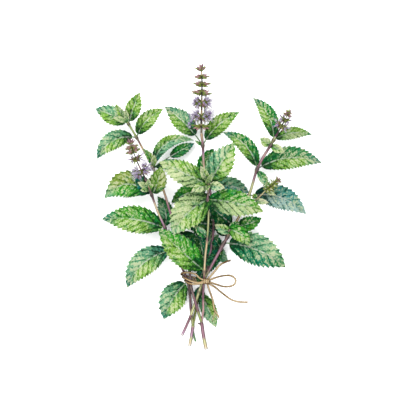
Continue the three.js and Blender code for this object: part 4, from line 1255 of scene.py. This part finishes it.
def add_corolla(skin, root, turn, size, rng):
    points, faces = COROLLA
    petal = COLOURS["petal" if rng.random() < 0.6 else "petal_deep"] * rng.uniform(0.9, 1.1)
    out = np.hypot(points[:, 0], points[:, 1]) / 1.6
    colour = blended([(0.2, COLOURS["throat"]), (0.6, petal)], out)
    skin.add(root + (points * size) @ turn.T, faces, tint=colour)


def add_stamens(skin, root, turn, size, reach, rng):
    """Four fine filaments that reach past the petals, each with its anther."""
    for k in range(STAMENS):
        around = k * 2 * math.pi / STAMENS + rng.uniform(-0.6, 0.6)
        out = turn @ np.array([math.cos(around), math.sin(around), 0])
        ahead = turn[:, 2]
        far = reach * rng.uniform(0.82, 1.06)
        line = [
            root + ahead * 2.6 * size + out * 0.2 * size,
            root + ahead * (far * 0.72) + out * 0.7 * size,
            root + ahead * far + out * rng.uniform(0.8, 2.0) * size,
        ]
        tube(skin, line, STAMEN_RADII, 4, tint=COLOURS["petal"])
        bead = [line[2], line[2] + ahead * 0.3, line[2] + ahead * 0.6]
        tube(skin, bead, ANTHER_RADII, 5, tint=COLOURS["anther"] * rng.uniform(0.7, 1.1))


def add_bract(skin, root, direction, size, width, rng):
    """A narrow pointed scale that curves up a little."""
    t = np.linspace(0, 1, BRACT_RINGS)
    bow = np.outer(np.sin(t * math.pi) * size * 0.12, UP)
    line = root + np.outer(t * size, unit(direction)) - bow
    radii = width * np.sin(np.clip(t * 0.93 + 0.07, 0, 1) * math.pi) ** 0.7 + 0.04
    angle = ring_angles(BRACT_SIDES)
    flatten = 1 / np.sqrt(np.cos(angle) ** 2 + (np.sin(angle) / 0.4) ** 2)
    low, high = (COLOURS[name] * rng.uniform(0.8, 1.1) for name in ("leafy", "olive"))
    # Painted shade at the base, where it starts among the buds.
    colour = blended([(0.0, low * 0.4), (0.3, low), (0.9, high)], t)
    tube(skin, line, radii, BRACT_SIDES, across=frames_along(line), shape=flatten, tint=colour)


def whorl_directions(count, rng):
    """Directions over half a globe round x, as x, y and z shares, spread evenly."""
    golden = math.pi * (3 - math.sqrt(5))
    for k in range(count):
        out = 1 - 0.95 * (k + 0.5) / count
        around = k * golden + rng.uniform(-0.2, 0.2)
        flat_part = math.sqrt(max(0, 1 - out * out))
        yield np.array([out, flat_part * math.cos(around), flat_part * math.sin(around)])


def fan_direction(axes, side, lift, around):
    """Out to a side, raised along the axis by lift degrees and turned about it."""
    along, right, above = axes
    a, b = math.radians(lift), math.radians(around)
    out = right * side * math.cos(b) + above * math.sin(b)
    return out * math.cos(a) + along * math.sin(a)


def add_bud_fan(skins, centre, axes, side, radius, fan, rng):
    """Buds spread from the axis to one side, with a long bract among them."""
    for around in ROUND_DEGREES:
        for lift, reach, colour in fan:
            direction = fan_direction(
                axes, side, lift + rng.uniform(-6, 6), around + rng.uniform(-10, 10)
            )
            root = centre + direction * radius * 0.08
            length = radius * (reach - 0.08) * rng.uniform(0.9, 1.08)
            add_bud(skins["calyces"], root, direction, length, colour, rng)
    for around in BRACT_ROUND:
        direction = fan_direction(axes, side, rng.uniform(-4, 8), around)
        add_bract(skins["bracts"], centre, direction, radius * 1.1, radius * 0.08, rng)


def add_flowers(skins, centre, axes, side, radius, kind, rng):
    """Half a globe of open flowers and buds beside the axis."""
    along, right, above = axes
    hub = centre + right * side * radius * HUB_OUT
    size = max(SMALLEST_FLORET, radius * FLORET_SIZE)
    for k, (x, y, z) in enumerate(whorl_directions(FLORETS[kind], rng)):
        out = unit(right * side * (x * 1.25 - 0.2) + along * (y + 0.18) + above * z)
        root = hub + out * radius * rng.uniform(0.04, 0.3)
        if kind == "open" and y > -0.6 or k % 2 == 0:
            turn = turned_to(out, rng.uniform(0, 6))
            local = size * rng.uniform(0.85, 1.1)
            add_calyx(skins["calyces"], root, turn, local, rng)
            add_corolla(skins["petals"], root, turn, local, rng)
            add_stamens(skins["stamens"], root, turn, local, radius * STAMEN_REACH, rng)
        else:
            end = rng.choice(["mauve", "leafy", "rose"])
            add_bud(skins["calyces"], hub, out, radius * 0.6, end, rng)
    for around in FILL_ROUND:
        for lift in FILL_LIFTS:
            direction = fan_direction(axes, side, lift, around + rng.uniform(-12, 12))
            far = radius * rng.uniform(0.36, 0.54)
            end = rng.choice(["wine", "rose", "leafy", "olive"])
            add_bud(skins["calyces"], centre, direction, far, end, rng)


def add_whorl(skins, centre, axes, radius, kind, rng):
    for side in (-1, 1):
        if kind in FLORETS:
            add_flowers(skins, centre, axes, side, radius, kind, rng)
        else:
            add_bud_fan(skins, centre, axes, side, radius, FANS[kind], rng)
    if kind == "sparse":
        add_last_flower(skins, centre, axes, radius, rng)


def add_last_flower(skins, centre, axes, radius, rng):
    """The open flowers that hang out to the left of the lowest whorl."""
    along, right, _ = axes
    size, reach = LAST_FLOWER["size"], LAST_FLOWER["reach"]
    root = centre - right * radius * 0.85 + along * 1.5
    for lift in LAST_FLOWER["lifts"]:
        turn = turned_to(fan_direction(axes, -1, lift, 30), rng.uniform(0, 6))
        add_corolla(skins["petals"], root, turn, size, rng)
        add_stamens(skins["stamens"], root, turn, size, reach, rng)


def add_tip(skins, end, axes, length, rng):
    """The young buds that close a spike."""
    along, right, above = axes
    for around in TIP_ROUND:
        turn = math.radians(around)
        sideways = right * math.cos(turn) + above * math.sin(turn)
        for lean in TIP_LEANS:
            a = math.radians(lean + rng.uniform(-5, 5))
            direction = along * math.cos(a) + sideways * math.sin(a)
            far = length * (1 - 0.15 * abs(lean) / 66) * (1 if around == 0 else 0.75)
            colour = rng.choice(["rose", "mauve", "leafy"])
            add_bud(skins["calyces"], end, direction, far * rng.uniform(0.85, 1.05), colour, rng)


def axis_tones(line, whorls, tone):
    """Painted shade under each whorl, fading to paler towards the next one below."""
    y = line[:, 1]
    colour = np.tile(COLOURS[tone], (len(line), 1))
    for place, radius, _ in whorls:
        low = place - 0.36 * radius - 1.5
        dark = smooth_step(low - 3, low, y) * (y < place + 1)
        colour = colour + (COLOURS["wine"] * 0.3 - colour) * dark[:, None]
    return colour


def make_spike(name, spike, looks, seed):
    """One flower spike: its axis, then calyces, bracts, petals and stamens as pieces."""
    rng = random.Random(seed)
    line = evenly(curve_through(spike["route"]), CURVE_STEP)
    axes = frames_along(line)
    skins = {kind: Skin() for kind in ("axis", "calyces", "bracts", "petals", "stamens")}
    along = lengths_along(line)
    tube(
        skins["axis"], line, tapered(along, spike["radii"]), 12, across=axes,
        tint=axis_tones(line, spike["whorls"], spike["tone"]), sheet=stacked(0, along, seed),
    )
    for y, radius, kind in spike["whorls"]:
        k = int(np.abs(line[:, 1] - y).argmin())
        add_whorl(skins, line[k], [axis[k] for axis in axes], radius, kind, rng)
    add_tip(skins, line[-1], [axis[-1] for axis in axes], spike["tip"], rng)
    pieces = [
        skin.piece(f"{name}_{kind}", looks[kind], "flower")
        for kind, skin in skins.items() if skin.count
    ]
    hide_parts(name)


# Floor and lights

def floor_material():
    n = Nodes("floor")
    low, high = ((grey, grey, grey, 1) for grey in FLOOR_GREYS)
    return n.surface(n.mix(n.noise(n.place(), 40.0, 2.0), low, high), 0.9, 0.1)


def make_floor():
    mesh = bpy.data.meshes.new("floor")
    signs = ((-1, -1), (1, -1), (1, 1), (-1, 1))
    corners = [(x * FLOOR_REACH, y * FLOOR_REACH, 0) for x, y in signs]
    mesh.from_pydata(corners, [], [(0, 1, 2, 3)])
    mesh.materials.append(floor_material())
    floor = placed("floor", mesh)


def make_sky():
    world = bpy.data.worlds.new("world")
    bpy.context.scene.world = world
    world.use_nodes = True
    background = world.node_tree.nodes["Background"]
    background.inputs["Color"].default_value = (1, 1, 1, 1)
    background.inputs["Strength"].default_value = SKY_LIGHT
    bpy.context.scene.view_settings.view_transform = "Standard"


def make_key_light():
    data = bpy.data.lights.new("key", "AREA")
    data.size, data.energy = KEY_LIGHT["size"], KEY_LIGHT["power"]
    lamp = placed("key", data)
    lamp.location = KEY_LIGHT["place"]
    lamp.rotation_mode = "QUATERNION"
    lamp.rotation_quaternion = (-Vector(KEY_LIGHT["place"])).to_track_quat("-Z", "Y")


def main():
    make_camera()
    make_twine(twine_material())
    leaf_look, stem_look = leaf_material(), stem_material()
    for seed, (name, shoot) in enumerate(SHOOTS.items()):
        make_shoot(name, shoot, leaf_look, stem_look, seed + 1)
    for seed, (name, cut) in enumerate(CUT_STEMS.items()):
        make_cut_stem(name, cut, stem_look, seed + 31)
    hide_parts("front_forked_sprig")
    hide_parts("back_forked_sprig")
    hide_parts("right_sprig")
    looks = {
        "axis": stem_look,
        "calyces": floret_material("calyx", 0.55, 700.0),
        "bracts": floret_material("bract", 0.55, 500.0),
        "petals": floret_material("petal", 0.5, 900.0),
        "stamens": floret_material("stamen", 0.5, 900.0),
    }
    for seed, (name, spike) in enumerate(SPIKES.items()):
        make_spike(name, spike, looks, seed + 51)
    make_floor()
    make_sky()
    make_key_light()


main()
